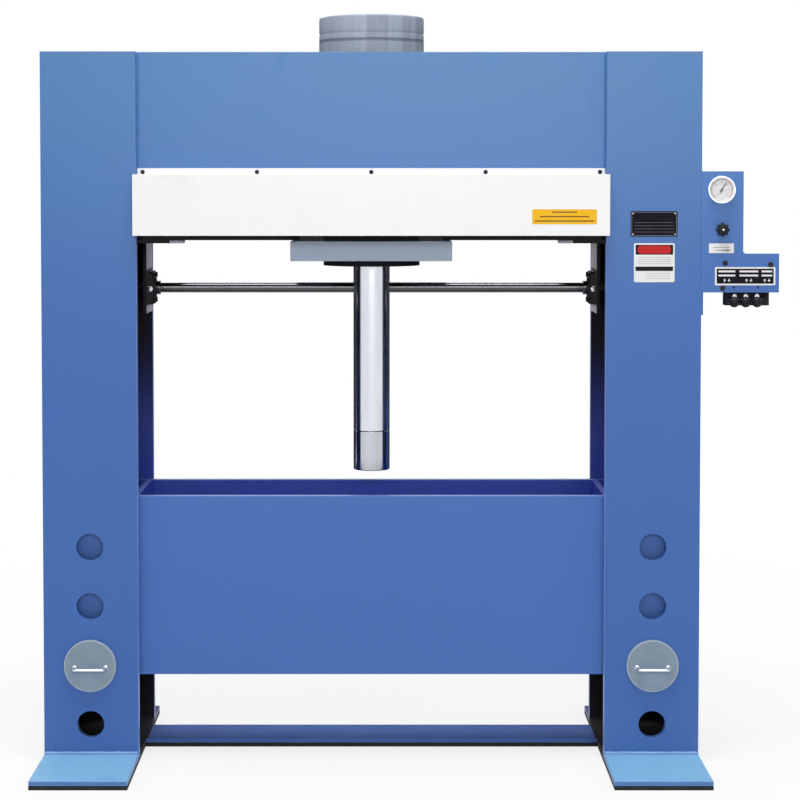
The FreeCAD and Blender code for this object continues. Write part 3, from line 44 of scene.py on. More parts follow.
class Finish:
    """A socket of a finish. Sums, products and mixes of sockets add the nodes that work them out."""

    def __init__(self, holder, socket=None):
        self.holder = holder
        self.socket = socket

    def node(self, kind, settings, sockets, output=0):
        """Adds a node to the material or world that holds the finish. A colour is three numbers."""
        tree = self.holder.node_tree
        made = tree.nodes.new("ShaderNode" + kind)
        for name, value in settings.items():
            setattr(made, name, value)
        for key, value in sockets.items():
            if isinstance(value, Finish):
                tree.links.new(value.socket, made.inputs[key])
            else:
                coloured = made.inputs[key].type == "RGBA"
                made.inputs[key].default_value = (*value, 1) if coloured else value
        return Finish(self.holder, made.outputs[output]) if made.outputs else None

    def worked(self, operation, *pair):
        """Maths on numbers, or vector maths as soon as one side is a vector or a colour."""
        kind = "Math"
        if any(isinstance(one, tuple) or (isinstance(one, Finish) and one.socket.type != "VALUE")
               for one in pair):
            kind = "VectorMath"
            pair = [(one,) * 3 if isinstance(one, (int, float)) else one for one in pair]
        return self.node(kind, {"operation": operation}, dict(enumerate(pair)))

    def __add__(self, other):
        return self.worked("ADD", self, other)

    def __mul__(self, other):
        return self.worked("MULTIPLY", self, other)

    def __sub__(self, other):
        return self.worked("SUBTRACT", self, other)

    def __rsub__(self, other):
        return self.worked("SUBTRACT", other, self)

    __radd__ = __add__
    __rmul__ = __mul__

    def rise(self, low, high):
        """0 below low and 1 above high, with a soft step between."""
        return self.node("MapRange", {"interpolation_type": "SMOOTHSTEP"}, {0: self, 1: low, 2: high})

    def mix(self, without, full):
        """The colour without at 0, and the colour full at 1."""
        return self.node("Mix", {"data_type": "RGBA"}, {0: self, 6: without, 7: full}, 2)

    def part(self, axis):
        return self.node("SeparateXYZ", {}, {0: self}, axis)

    def away(self, centre=(0, 0, 0)):
        """Distance from a centre, in metres."""
        return self.node("VectorMath", {"operation": "DISTANCE"}, {0: self, 1: centre}, "Value")

    def cloud(self, scale, detail=3.0, roughness=0.55):
        """Noise with patches of about 1 / scale metres."""
        return self.node("TexNoise", {}, {"Vector": self, "Scale": scale, "Detail": detail,
                                          "Roughness": roughness})

    def streaks(self, lines, detail=3.0, roughness=0.55):
        """Noise with about as many lines in a metre along x, y and z."""
        return (self * lines).cloud(1, detail, roughness)

    def facing_up(self):
        return self.node("NewGeometry", {}, {}, "Normal").part(2).rise(0.6, 0.95)

    def edges(self, reach):
        """1 on the edges of a piece, where the normal turns within reach, and 0 elsewhere."""
        rounded = self.node("Bevel", {"samples": 3}, {"Radius": reach})
        normal = self.node("NewGeometry", {}, {}, "Normal")
        alike = self.node("VectorMath", {"operation": "DOT_PRODUCT"}, {0: rounded, 1: normal}, "Value")
        return (1 - alike).rise(0.02, 0.2)

    def bump(self, depth, strength):
        return self.node("Bump", {}, {"Height": self, "Distance": depth, "Strength": strength})

    def shader(self, colour, roughness, sheen=0.5, **others):
        """The Principled shader; _ in the name of another socket stands for a space."""
        sockets = {key.replace("_", " "): others[key] for key in others}
        sockets.update({"Base Color": colour, "Roughness": roughness, "Specular IOR Level": sheen})
        return self.node("BsdfPrincipled", {}, sockets)

    def ends_in(self, shader, output="OutputMaterial"):
        """Puts a shader on the surface, and gives the material or world that is now complete."""
        self.node(output, {}, {"Surface": shader})
        return self.holder

    def surface(self, *sockets, **others):
        return self.ends_in(self.shader(*sockets, **others))


def emptied(holder):
    """A new material or world without nodes."""
    holder.use_nodes = True
    holder.node_tree.nodes.clear()
    return Finish(holder)


def new_finish(name):
    """Starts a material, and gives the place of a point on its piece, in metres."""
    return emptied(bpy.data.materials.new(name)).node("TexCoord", {}, {}, "Object")


def rubber_sheet(name, colour, dusty):
    """Matt rubber: fine grain, faint streaks from the mould, dust in patches."""
    place = new_finish(name)
    grain = place.cloud(900, 2)
    dust = place.cloud(35, 4).rise(0.45, 0.8)
    relief = grain + place.streaks((8, 8, 300))
    return place.surface(dust.mix(colour, dusty), 0.72 + grain * 0.2, 0.35, Normal=relief.bump(0.0004, 0.5))


def break_edges(piece, edge, turn, segments=2):
    """Rounds the edges at which a piece turns further than turn degrees, edge millimetres wide."""
    rounded = piece.modifiers.new("edge", "BEVEL")
    rounded.width = edge / 1000
    rounded.segments = segments
    rounded.limit_method = "ANGLE"
    rounded.angle_limit = radians(turn)
    return piece.modifiers.new("level", "WEIGHTED_NORMAL")


def dress(finish, *nodes, edge=0.0, turn=30, segments=2):
    """Gives CAD pieces their finish, and the edges that filing, casting or paint leaves."""
    for node in nodes:
        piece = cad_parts[node]
        piece.data.materials.clear()
        piece.data.materials.append(finish)
        if edge:
            piece.modifiers.new("weld", "WELD").merge_threshold = 0.00002
            flat = piece.modifiers.new("flat", "DECIMATE")
            flat.decimate_type = "DISSOLVE"
            flat.angle_limit = radians(0.5)
            break_edges(piece, edge, turn, segments).weight = 80


dress(rubber_sheet("pad_rubber", (0.012, 0.012, 0.014), (0.03, 0.031, 0.034)), "floor_pads", edge=1)


# ---- Feet and tie bar
# Flame-cut steel plates, 15 mm thick, on which the columns stand, joined by a flat bar across the floor.
# Like the whole frame they are sprayed with blue machine enamel after welding.

FOOT_TOP, SIDE_PLATE = 28.0, 15.0
COLUMN_IN, COLUMN_OUT, COLUMN_FACE, COLUMN_INSIDE = 750.0, 1055.0, 260.0, 230.0
UP, LEFT, RIGHT, FORWARD, BACK = (0, 0, 1), (-1, 0, 0), (1, 0, 0), (0, -1, 0), (0, 1, 0)


def machine_enamel(name, base, deep, dusty, rubbed_colour, gloss=0.38, dusted=0.3, sheen=0.42,
                   painted_sheen=None, soiled=None):
    """Sprayed enamel: fine orange peel, broad clouds, dust on level faces, rubbed edges."""
    place = new_finish(name)
    height = place.part(2)
    scuffs = place.streaks((22, 22, 5), 5, 0.65).rise(0.6, 0.72)
    rubbed = place.edges(0.004) * place.cloud(24, 4).rise(0.42, 0.62)
    dust = place.facing_up() * (0.35 + 0.65 * place.cloud(9, 4).rise(0.25, 0.75))
    colour = (dust * dusted).mix(place.cloud(1.7, 2).mix(deep, base), dusty)
    # A painted sheen: higher up the colour turns paler.
    if painted_sheen:
        colour = (height.rise(1.35, 2.25) * 0.8).mix(colour, painted_sheen)
        colour = (0.2 - height.rise(0.03, 0.3) * 0.2).mix(colour, dusty)
    colour = (rubbed * 0.4).mix(colour, rubbed_colour)
    dull = 0.0
    # soiled darkens the colour where shade falls, and makes the enamel duller there.
    if soiled:
        colour, dull = soiled(place, colour)
    roughness = gloss + scuffs * 0.1 + dust * 0.16 + rubbed * 0.12 + dull * (0.9 - gloss)
    return place.surface(colour, roughness, sheen, Normal=place.cloud(330, 1).bump(0.00025, 0.35))


def blue_enamel(name, base=(0.041, 0.133, 0.415), deep=(0.037, 0.122, 0.395), dusty=(0.13, 0.23, 0.46),
                painted_sheen=(0.056, 0.185, 0.405), **other):
    """The blue of the frame, paler higher up with a painted sheen, and dusty near the floor."""
    return machine_enamel(name, base, deep, dusty, (0.16, 0.27, 0.5), painted_sheen=painted_sheen, **other)


def behind_column(place, colour):
    """Painted shade on the feet: darker behind the front plates, and black inside the columns."""
    depth = place.part(1)
    colour = depth.rise(-0.25, -0.2).mix(colour, (0.028, 0.06, 0.22))
    oiled = depth.rise(-0.232, -0.228) * (1 - depth.rise(0.228, 0.232))
    return oiled.mix(colour, (0.006, 0.006, 0.01)), oiled


frame_blue = blue_enamel("frame_blue")
# The pale cyan laid thick on the level tops of the feet is a painted highlight as well as dust.
foot_blue = blue_enamel("foot_blue", dusty=(0.22, 0.465, 0.71), gloss=0.4, dusted=2.2, soiled=behind_column)
dress(foot_blue, "left_foot", "right_foot", edge=1.8)
dress(blue_enamel("tie_blue", (0.095, 0.19, 0.5), (0.085, 0.17, 0.46), (0.07, 0.15, 0.42), gloss=0.6,
                  dusted=0.5, sheen=0.12), "tie_bar", edge=1.8)


def upright(axis, a, b, along):
    """A point from its two places across an axis and its place along it."""
    return Vector({"x": (along, a, b), "y": (a, along, b), "z": (a, b, along)}[axis])


def placed(name, data):
    """Puts a new object into the scene."""
    piece = bpy.data.objects.new(name, data)
    bpy.context.scene.collection.objects.link(piece)
    return piece


class Workpiece:
    """A mesh in the making, in millimetres. finish is the number of the finish of what is added next."""

    def __init__(self):
        self.metal = bmesh.new()
        self.finish = 0

    def skin(self, rings, hollow=False):
        """Joins rings of points into a closed shell. A hollow one ends in its first ring."""
        rows = [[self.metal.verts.new(point) for point in ring] for ring in rings]
        count = len(rows[0])
        faces = [] if hollow else [rows[0][::-1], rows[-1]]
        for below, above in zip(rows, rows[1:] + rows[:1] if hollow else rows[1:]):
            faces += [(below[i], below[(i + 1) % count], above[(i + 1) % count], above[i])
                      for i in range(count)]
        for face in faces:
            self.metal.faces.new(face).material_index = self.finish

    def cut(self, outline, low, high, axis="z"):
        """A plate cut to an outline and as thick as from low to high along its axis."""
        self.skin([[upright(axis, a, b, along) for a, b in outline] for along in (low, high)])

    def turned(self, profile, centre, axis="z", around=32, hollow=False):
        """Turned from radii and their places along the axis. A third value mills a ring hexagonal."""
        rings = []
        for radius, along, *hexagonal in profile:
            ring = []
            for i in range(around):
                angle = 2 * pi * i / around
                reach = radius
                if hexagonal:
                    reach *= cos(pi / 6) / cos(angle % (pi / 3) - pi / 6)
                ring.append(Vector(centre) + upright(axis, reach * cos(angle), reach * sin(angle), along))
            rings.append(ring)
        self.skin(rings, hollow)

    def hex_screw(self, centre, axis, side, radius, height):
        """Washer and bevelled hexagon head, standing on centre towards side, which is 1 or -1."""
        self.turned([(radius * 1.22, 0), (radius * 1.22, side * 1.6)], centre, axis, 24)
        self.turned([(radius, side * 1.6, 1), (radius, side * (height - 1.2), 1),
                     (radius * 0.93, side * height, 1), (radius * 0.7, side * height)], centre, axis, 24)

    def socket_screw(self, centre, axis, side, radius, height):
        """Round head with a hexagon socket, standing on centre towards side."""
        self.turned([(radius, 0), (radius, side * height * 0.8), (radius * 0.9, side * height),
                     (radius * 0.52, side * height, 1), (radius * 0.5, side * height * 0.35, 1)],
                    centre, axis, 24)

    def weld(self, start, end, one, other, leg=7.0):
        """A rippled fillet weld in the corner between two faces that run off along one and other."""
        start, end, one, other = map(Vector, (start, end, one, other))
        bead = ((0, 1), (0.42, 0.84), (pi / 4, 0.79), (1.15, 0.84), (pi / 2, 1))
        steps = max(4, round((end - start).length / 3.2))
        rings = []
        for i in range(steps + 1):
            swell = leg * (1 + 0.06 * (-1) ** i + 0.05 * sin(i * 0.37) + 0.04 * sin(i * 1.31))
            if i in (0, steps):
                swell *= 0.5
            corner = start.lerp(end, i / steps)
            rings.append([corner] + [corner + swell * reach * (one * cos(turn) + other * sin(turn))
                                     for turn, reach in bead])
        self.skin(rings)

    def done(self, name, finishes, slot=None, nodes=(), body="frame", edge=0.0, turn=40):
        """Makes the object, rides it on its body and lets it stand for the CAD pieces that it replaces."""
        bmesh.ops.recalc_face_normals(self.metal, faces=self.metal.faces)
        for face in self.metal.faces:
            face.smooth = True
        for line in self.metal.edges:
            line.smooth = line.calc_face_angle(0.0) < radians(turn)
        mesh = bpy.data.meshes.new(name)
        self.metal.to_mesh(mesh)
        self.metal.free()
        mesh.transform(Matrix.Scale(0.001, 4))
        for finish in finishes:
            mesh.materials.append(finish)
        piece = placed(name, mesh)
        if edge:
            break_edges(piece, edge, turn).keep_sharp = True
        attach(piece, body)
        if nodes:
            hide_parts(*nodes)


welds = Workpiece()
for side in (-1, 1):
    inner, outer, web = side * COLUMN_IN, side * COLUMN_OUT, side * (COLUMN_OUT - SIDE_PLATE)
    for way, outward, inward in ((-1, FORWARD, BACK), (1, BACK, FORWARD)):
        face, inside = way * COLUMN_FACE, way * COLUMN_INSIDE
        welds.weld((inner, face, FOOT_TOP), (outer, face, FOOT_TOP), outward, UP, 8)
        welds.weld((inner, inside, FOOT_TOP), (web, inside, FOOT_TOP), inward, UP)
    welds.weld((web, -COLUMN_INSIDE, FOOT_TOP), (web, COLUMN_INSIDE, FOOT_TOP), (-side, 0, 0), UP)
    for along in (LEFT, RIGHT):
        welds.weld((inner, -55, FOOT_TOP), (inner, 135, FOOT_TOP), along, (0, 0, 0.35))
welds.done("foot_welds", [foot_blue], "frame_blue")


# ---- Columns
# Each is welded of two 30 mm plates with four bored pin holes, an outer plate and a top plate, and stands
# open to the inside, so that the table can slide in it. Inside, painted shade makes them deep navy, and black
# above and below the run of the table.

def chain_oil(place, colour):
    """Painted shade inside: navy where the table runs, black above and below; a painted highlight on the
    plates' inner edges.
    """
    height = place.part(2)
    across = (place * (1, 0, 0)).away()
    in_plates = (place * (0, 1, 0)).away().rise(0.2302, 0.2306)
    inside = (1 - in_plates) * (1 - across.rise(1.0402, 1.0406)) * (1 - height.rise(2.25, 2.26))
    edge_highlight = (1 - across.rise(0.7506, 0.7512)) * in_plates * (1 - height.rise(1.68, 1.7))
    height = height + place.streaks((30, 30, 2.5), 4) * 0.12
    # oil is the part of the painted shade that is black.
    oil = height.rise(0.95, 1.42) + (1 - height.rise(0.3, 0.42))
    colour = (edge_highlight * 0.7).mix(colour, (0.3, 0.4, 0.85))
    return inside.mix(colour, oil.mix((0.031, 0.064, 0.42), (0.004, 0.004, 0.007))), inside * oil


dress(blue_enamel("column_blue", soiled=chain_oil), "left_column", "right_column", edge=1.8)


# ---- Head
# Two tall plates, let in between the column plates and welded there, with plates across between them.
# They are enamelled with the frame, and painted black along their lower edges under the cover: painted shade.

HEAD_LOW, HEAD_TOP, HEAD_FACE, HEAD_INSIDE = 1686.0, 2287.0, 230.0, 200.0
CROSS_PLATE_X, COVER_TOP = 700.0, 1916.0


def rail_grease(place, colour):
    """Painted shade: the lower edges of the head, just under the cover, are black."""
    painted_dark = 1 - place.part(2).rise(1.7005, 1.7025)
    return painted_dark.mix(colour, (0.008, 0.008, 0.01)), painted_dark


head_blue = blue_enamel("head_blue", soiled=rail_grease)
dress(head_blue, "head_front_plate", "head_rear_plate", "head_cross_plates", edge=1.8)
welds = Workpiece()
for side in (-1, 1):
    column, plate, inward = side * COLUMN_IN, side * CROSS_PLATE_X, (-side, 0, 0)
    for face, low, along in ((-HEAD_FACE, COVER_TOP + 6, FORWARD), (HEAD_FACE, HEAD_LOW + 46, BACK)):
        welds.weld((column, face, low), (column, face, HEAD_TOP - 4), inward, along, 6)
    for face, along in ((-HEAD_INSIDE, BACK), (HEAD_INSIDE, FORWARD)):
        welds.weld((plate, face, HEAD_LOW), (plate, face, HEAD_TOP), inward, along)
welds.done("head_welds", [head_blue], "frame_blue")


# ---- Rails, stops and buffers
# Flat steel rails on the outer sides of the head plates, on which the carriage rolls, and plates under
# the head with grey rubber blocks that end its travel. All the steel is painted black.

dress(machine_enamel("black_steel", (0.013, 0.0135, 0.015), (0.009, 0.0095, 0.011), (0.03, 0.031, 0.034),
                     (0.07, 0.07, 0.075), 0.6, sheen=0.08), "carriage_rails", "stop_plates", edge=1)
dress(rubber_sheet("buffer_grey", (0.27, 0.29, 0.33), (0.36, 0.37, 0.4)), "stop_buffers", edge=3, segments=3)


# ---- Cover
# A folded tray of 2 mm sheet, powder-coated white, over the front rail and the rollers. Five black
# button-head screws hold its flange to the head; a yellow film strip with plain rules is stuck on it.

SCREW_PITCH, SCREW_Z, SCREW_SEAT = 366.0, 1904.0, -232.0
STRIP_X, STRIP_FACE = 613.5, -302.4


def powder_coat():
    """Stove-hardened powder: soft pebbled skin, a trace of grime in patches and at the edges."""
    place = new_finish("cover_white")
    pebble = place.cloud(420, 2, 0.4)
    grime = place.cloud(6, 5, 0.6).rise(0.55, 0.85)
    marked = grime * 0.22 + place.edges(0.003) * place.cloud(30).rise(0.4, 0.7) * 0.35
    return place.surface(marked.mix((0.85, 0.85, 0.86), (0.62, 0.62, 0.64)),
                         0.4 + grime * 0.12 + pebble * 0.05, 0.4, Normal=pebble.bump(0.0003, 0.3))


def blackened(name, colour, gloss):
    """Oil-blackened steel: nearly even black with a brownish sheen where it is handled."""
    place = new_finish(name)
    bloom = place.cloud(60, 4).rise(0.35, 0.7)
    warm = tuple(value * 1.9 + 0.004 for value in colour)
    return place.surface(bloom.mix(colour, warm), gloss + bloom * 0.16, Metallic=0.6 + bloom * 0.3,
                         Normal=place.cloud(1500, 2).bump(0.0001, 0.3))


def film(name, colour, faded, sheen=0.45, gloss=0.33):
    """Printed plastic film: even colour, slight fading, a few rubbed specks."""
    place = new_finish(name)
    fading = place.cloud(14).rise(0.35, 0.8)
    specks = place.cloud(260, 4).rise(0.66, 0.76)
    return place.surface((fading * 0.5 + specks * 0.35).mix(colour, faded), gloss + specks * 0.3, sheen,
                         Normal=place.cloud(80, 2).bump(0.0002, 0.15))


def oblong(left, low, right, high):
    return [(left, low), (right, low), (right, high), (left, high)]


dress(powder_coat(), "front_cover", edge=0.7)
fastener_black = blackened("fastener_black", (0.012, 0.012, 0.014), 0.42)
screws = Workpiece()
for place in range(-2, 3):
    screws.turned([(7.0, 0), (7.0, -0.8), (6.4, -2.2), (5.2, -3.3), (4.0, -3.9), (2.6, -4.0, 1),
                   (2.5, -1.6, 1)], (place * SCREW_PITCH, SCREW_SEAT, SCREW_Z), "y", 24)
screws.done("cover_button_screws", [fastener_black], "fastener", ["cover_screws"])

strip_yellow = film("strip_yellow", (0.86, 0.47, 0.012), (0.84, 0.5, 0.04), 0.15, 0.6)
strip_brown = film("strip_brown", (0.2, 0.09, 0.02), (0.26, 0.13, 0.03), 0.15, 0.6)
strip = Workpiece()
strip.cut([(513, 1738), (714, 1738), (716, 1740), (716, 1783), (714, 1785), (513, 1785), (511, 1783),
           (511, 1740)], STRIP_FACE + 0.4, STRIP_FACE, "y")
strip.finish = 1
for reach, z in ((40, 1776), (78, 1762), (94, 1748)):
    strip.cut(oblong(STRIP_X - reach, z - 2, STRIP_X + reach, z + 2), STRIP_FACE, STRIP_FACE - 0.05, "y")
strip.done("cover_strip", [strip_yellow, strip_brown])


# ---- Shaft bearings
# Grey plates welded inside the mouths of the columns carry black cast flange bearings, each with four
# bolts and a bright grease nipple.

SHAFT_Y, SHAFT_Z = 146.0, 1518.0
FLANGE_X, NIPPLE_X, BEARING_PLATE_X = 736.0, 744.0, 762.0


def casting(name, colour, worn, scale=420, gloss=0.5, sheen=0.3):
    """Sand-cast iron under paint: grainy skin, soft hollows, a little wear on the edges."""
    place = new_finish(name)
    skin = place.node("TexVoronoi", {"feature": "SMOOTH_F1"}, {"Vector": place, "Scale": scale})
    hollows = place.cloud(45)
    rubbed = place.edges(0.002) * place.cloud(60).rise(0.45, 0.65)
    return place.surface((rubbed * 0.5 + hollows * 0.15).mix(colour, worn), gloss + hollows * 0.15, sheen,
                         Normal=(skin + hollows * 0.6).bump(0.0006, 0.4))


def bearing_oil(place, colour):
    """Painted shade blackens the plates inside the columns; only their upper and lower ends, back from the
    front edge, keep their grey.
    """
    height = place.part(2)
    lit_ends = place.part(1).rise(0.0405, 0.0415) * (height.rise(1.575, 1.59) + 1 - height.rise(1.455, 1.465))
    return lit_ends.mix((0.009, 0.0085, 0.01), colour), 1 - lit_ends


def bright_metal(name, colour, gloss, lines, drift=0.06):
    """Bare metal with fine tool lines. lines gives how often they change along x, y and z."""
    place = new_finish(name)
    tool = place.streaks(lines, 3, 0.6)
    stain = place.cloud(22, 4).rise(0.45, 0.85)
    dull = tuple(value * 0.72 for value in colour)
    return place.surface((stain * 0.35 + tool * 0.25).mix(colour, dull), gloss + tool * drift + stain * drift,
                         Metallic=1.0, Normal=tool.bump(0.00006, 0.4))


bearing_grey = machine_enamel("bearing_grey", (0.8, 0.81, 0.82), (0.75, 0.76, 0.77), (0.7, 0.7, 0.7),
                              (0.75, 0.75, 0.75), 0.4, soiled=bearing_oil)
dress(bearing_grey, "bearing_plates", edge=1)
cast_black = casting("cast_black", (0.009, 0.009, 0.01), (0.05, 0.05, 0.053))
dress(cast_black, "shaft_bearings", edge=1.2, turn=40)
bright_zinc = bright_metal("bright_zinc", (0.62, 0.66, 0.7), 0.24, (300, 300, 300))
bolts = Workpiece()
nipples = Workpiece()
welds = Workpiece()
for side in (-1, 1):
    for y in (SHAFT_Y - 42, SHAFT_Y + 42):
        for z in (SHAFT_Z - 42, SHAFT_Z + 42):
            bolts.hex_screw((side * FLANGE_X, y, z), "x", -side, 10.4, 7.9)
    nipples.turned([(9.5, 0.5), (9.5, -1.5), (7.5, -1.5, 1), (7.5, -7, 1), (4.6, -8), (4.0, -11), (5.6, -13),
                    (5.6, -15), (2.6, -17)], (side * NIPPLE_X, 90, SHAFT_Z - 3), "y", 24)
    plate = (side * BEARING_PLATE_X, COLUMN_INSIDE)
    welds.weld((*plate, SHAFT_Z - 83), (*plate, SHAFT_Z + 151), (side, 0, 0), FORWARD)
bolts.done("bearing_hex_bolts", [fastener_black], "fastener", ["bearing_bolts"])
nipples.done("grease_nipples", [bright_zinc], "handle_zinc")
welds.done("bearing_welds", [bearing_grey], "bearing_grey")


# ---- Cross shaft and chain wheels
# A drawn steel shaft, blackened and oiled, that makes both sides of the table rise together. Wheels on
# its ends and on stub axles at the floor guide the chains.

dress(bright_metal("shaft_steel", (0.1, 0.101, 0.106), 0.17, (9, 700, 700)), "cross_shaft", edge=1, turn=50)
oiled_steel = blackened("oiled_steel", (0.055, 0.05, 0.046), 0.28)
dress(oiled_steel, "chain_wheels", "left_idler", "right_idler", edge=0.6, turn=35)


# ---- Chains
# Endless roller chains in the columns: punched plates in pairs, wide and narrow by turns, pinned
# together through hardened rollers, and running in oil.

CHAIN_X, CHAIN_REACH, CHAIN_FLOOR, CHAIN_LINKS = 1012.0, 52.0, 110.0, 98
CHAIN_RUN = SHAFT_Z - CHAIN_FLOOR
CHAIN_HALF = CHAIN_RUN + pi * CHAIN_REACH


def on_chain(distance):
    """The point of the chain's middle line, in y and z, at a distance up behind and down in front."""
    way, start = (1, CHAIN_FLOOR) if distance % (2 * CHAIN_HALF) < CHAIN_HALF else (-1, SHAFT_Z)
    distance %= CHAIN_HALF
    turn = max(0.0, distance - CHAIN_RUN) / CHAIN_REACH
    run = min(distance, CHAIN_RUN) + CHAIN_REACH * sin(turn)
    return Vector((SHAFT_Y + way * CHAIN_REACH * cos(turn), start + way * run))


def link_plate(start, end):
    """Outline of a plate: round eyes at both pins and a waist between them."""
    along = (end - start).normalized()
    across = Vector((-along.y, along.x))
    outline = []
    for centre, way in ((start, -1), (end, 1)):
        outline += [centre + 10.6 * way * (along * sin(turn) + across * cos(turn))
                    for turn in (0.25, 0.75, 1.25, pi / 2, 1.9, 2.4, 2.9)]
        outline.append((start + end) / 2 - across * 7.4 * way)
    return outline


chain_pins = bright_metal("chain_pins", (0.34, 0.33, 0.32), 0.28, (400, 400, 400), 0.1)
pins = [on_chain(link * (2 * CHAIN_HALF / CHAIN_LINKS)) for link in range(CHAIN_LINKS + 1)]
for x, name in ((-CHAIN_X, "left"), (CHAIN_X, "right")):
    chain = Workpiece()
    for link, (start, end) in enumerate(zip(pins, pins[1:])):
        near, far = (3.4, 5.3) if link % 2 else (5.5, 7.4)
        chain.finish = 0
        for way in (-1, 1):
            chain.cut(link_plate(start, end), x + way * near, x + way * far, "x")
        chain.finish = 1
        chain.turned([(3.6, -7.9), (4.4, -7.2), (4.4, 7.2), (3.6, 7.9)], (x, *start), "x", 10)
        chain.turned([(8.6, -3.1), (9.2, -2.4), (9.2, 2.4), (8.6, 3.1)], (x, *start), "x", 12)
    chain.done(name + "_roller_chain", [oiled_steel, chain_pins], "chain_steel", [name + "_chain"])


# ---- Lifting cylinder
# A slim hydraulic cylinder, painted black, hung in the right column. Its chromed rod is nutted to the
# table's bridge plate.

dress(machine_enamel("lift_black", (0.02, 0.021, 0.024), (0.015, 0.016, 0.018), (0.06, 0.06, 0.065),
                     (0.12, 0.12, 0.125), 0.33), "lift_barrel", edge=1, turn=50)
dress(bright_metal("rod_chrome", (0.72, 0.735, 0.76), 0.1, (12, 12, 900)), "lift_rod", edge=0.8, turn=50)


# ---- Table
# Two tall steel plates with cross plates between them, welded into a box that is open above and below.
# Its ends run inside the columns and rest on the locking pins.

TABLE_LOW, TABLE_TOP, TABLE_INSIDE = 278.0, 859.0, 185.0


def inside_table(place, colour):
    """Painted shade: inside the box the enamel is deeper in colour."""
    inside = 1 - (place * (0, 1, 0)).away().rise(0.1852, 0.1856)
    return inside.mix(colour, (0.022, 0.062, 0.42)), 0.0


table_blue = blue_enamel("table_blue", (0.047, 0.145, 0.44), (0.043, 0.134, 0.42), gloss=0.4,
                         soiled=inside_table)
dress(table_blue, "table_front_plate", "table_rear_plate", "table_cross_plates", edge=1.8)
welds = Workpiece()
for side in (-1, 1):
    for x, way, top in ((460, -1, 789), (480, 1, 789), (752, -1, TABLE_TOP - 6), (772, 1, 808)):
        for face in (-1, 1):
            corner = (side * x, face * TABLE_INSIDE)
            welds.weld((*corner, TABLE_LOW + 3), (*corner, top), (side * way, 0, 0), (0, -face, 0), 8)
welds.done("table_welds", [table_blue], "frame_blue", body="table")


# ---- Locking pins
# Turned steel bars with a welded disc in front, painted blue-grey and rubbed bright where they slide.
# Each is drawn by a bow of bent zinc-plated bar, welded to the disc.

PIN_X, PIN_Z, DISC_FACE = 905.0, 316.0, -272.3


def pin_paint(name, side):
    """Hand-painted steel. The disc's rim is rubbed to a lighter ring, the bar is bare where it slides."""
    place = new_finish(name)
    rim = (place * (1, 0, 1)).away((side * PIN_X / 1000, 0, PIN_Z / 1000)).rise(0.0785, 0.081)
    bare = place.part(1).rise(-0.2575, -0.2565)
    brush = place.streaks((14, 14, 160), 4)
    marks = place.streaks((60, 60, 300), 4, 0.7).rise(0.63, 0.7)
    colour = place.cloud(18).rise(0.3, 0.8).mix((0.2, 0.265, 0.335), (0.235, 0.3, 0.37))
    colour = (rim * 0.55 + marks * 0.25).mix(colour, (0.42, 0.5, 0.56))
    return place.surface(bare.mix(colour, (0.42, 0.42, 0.43)), 0.42 + brush * 0.1 - bare * 0.08, 0.42,
                         Metallic=bare * 0.9, Normal=brush.bump(0.00025, 0.35))


handle_zinc = bright_metal("handle_zinc", (0.66, 0.71, 0.76), 0.3, (260, 260, 260), 0.08)
for side, name in ((-1, "left_pin"), (1, "right_pin")):
    dress(pin_paint(name + "_paint", side), name, edge=1, turn=50)
    dress(handle_zinc, name + "_handle")
    collars = Workpiece()
    for x in (-50, 50):
        collars.turned([(4.9, 0.2), (9.2, 0.2), (8.6, -1.6), (7.0, -3.4), (4.9, -4.8)],
                       (side * PIN_X + x, DISC_FACE, PIN_Z - 5), "y", 20, hollow=True)
    collars.done(name + "_handle_welds", [handle_zinc], "handle_zinc", body=name)


# ---- Carriage and rollers
# A thick burnt-out plate that carries the cylinder, hung by four arms from rollers on the rails, so that
# it can be pushed along the head. Painted mid grey; the rollers are turned from bare steel.

def roller_grease(place, colour):
    """Painted shade under the head and the cover: the arms above the plate are black, and the plate darkens
    towards its top.
    """
    height = place.part(2)
    painted_dark = height.rise(1.6832, 1.6838)
    colour = (height.rise(1.655, 1.684) * 0.45).mix(colour, (0.09, 0.1, 0.12))
    return painted_dark.mix(colour, (0.009, 0.009, 0.01)), painted_dark


dress(machine_enamel("carriage_grey", (0.245, 0.295, 0.375), (0.225, 0.27, 0.35), (0.34, 0.37, 0.41),
                     (0.4, 0.43, 0.48), 0.42, soiled=roller_grease), "carriage", edge=1.8)
dress(bright_metal("roller_steel", (0.5, 0.505, 0.52), 0.3, (600, 12, 600), 0.1), "left_rollers",
      "right_rollers", edge=0.6, turn=50)


# ---- Cylinder
# A thick turned barrel that stands through the carriage and shows above the head under a screwed cap,
# sprayed silver grey. Below, a black gland flange holds the bronze bush with eight socket screws.

GLAND_SEAT, GLAND_CIRCLE = 1612.0, 118.0


def silver_spray():
    """Grey paint over fine turning marks, with painted reflections in vertical bands, a broad soft sheen and
    a dark seam under the cap.
    """
    place = new_finish("cylinder_grey")
    height = place.part(2)
    rings = place.streaks((3, 3, 420), 2)
    cloud = place.cloud(5, 4).rise(0.3, 0.8)
    flake = place.cloud(1400, 1).rise(0.5, 0.75)
    # Vertical bands, painted lighter and darker, stand in for reflections.
    painted_reflection_bands = place.streaks((19, 19, 0.3), 3, 0.7).rise(0.4, 0.64) * (1 - place.facing_up())
    seam = height.rise(2.326, 2.329) * (1 - height.rise(2.334, 2.336))
    colour = (painted_reflection_bands * 0.7 + cloud * 0.2 + rings * 0.15).mix((0.34, 0.385, 0.46), (0.185, 0.22, 0.28))
    return place.surface((seam * 0.6).mix(colour, (0.05, 0.06, 0.08)), 0.48 + cloud * 0.08,
                         Metallic=0.05 + flake * 0.15, Coat_Weight=0.08, Coat_Roughness=0.2,
                         Normal=rings.bump(0.00012, 0.35))


def swung(reach, turn, across=0.0, up=0.0):
    """The point at a reach from another, swung round it by turn degrees."""
    return across + reach * cos(radians(turn)), up + reach * sin(radians(turn))


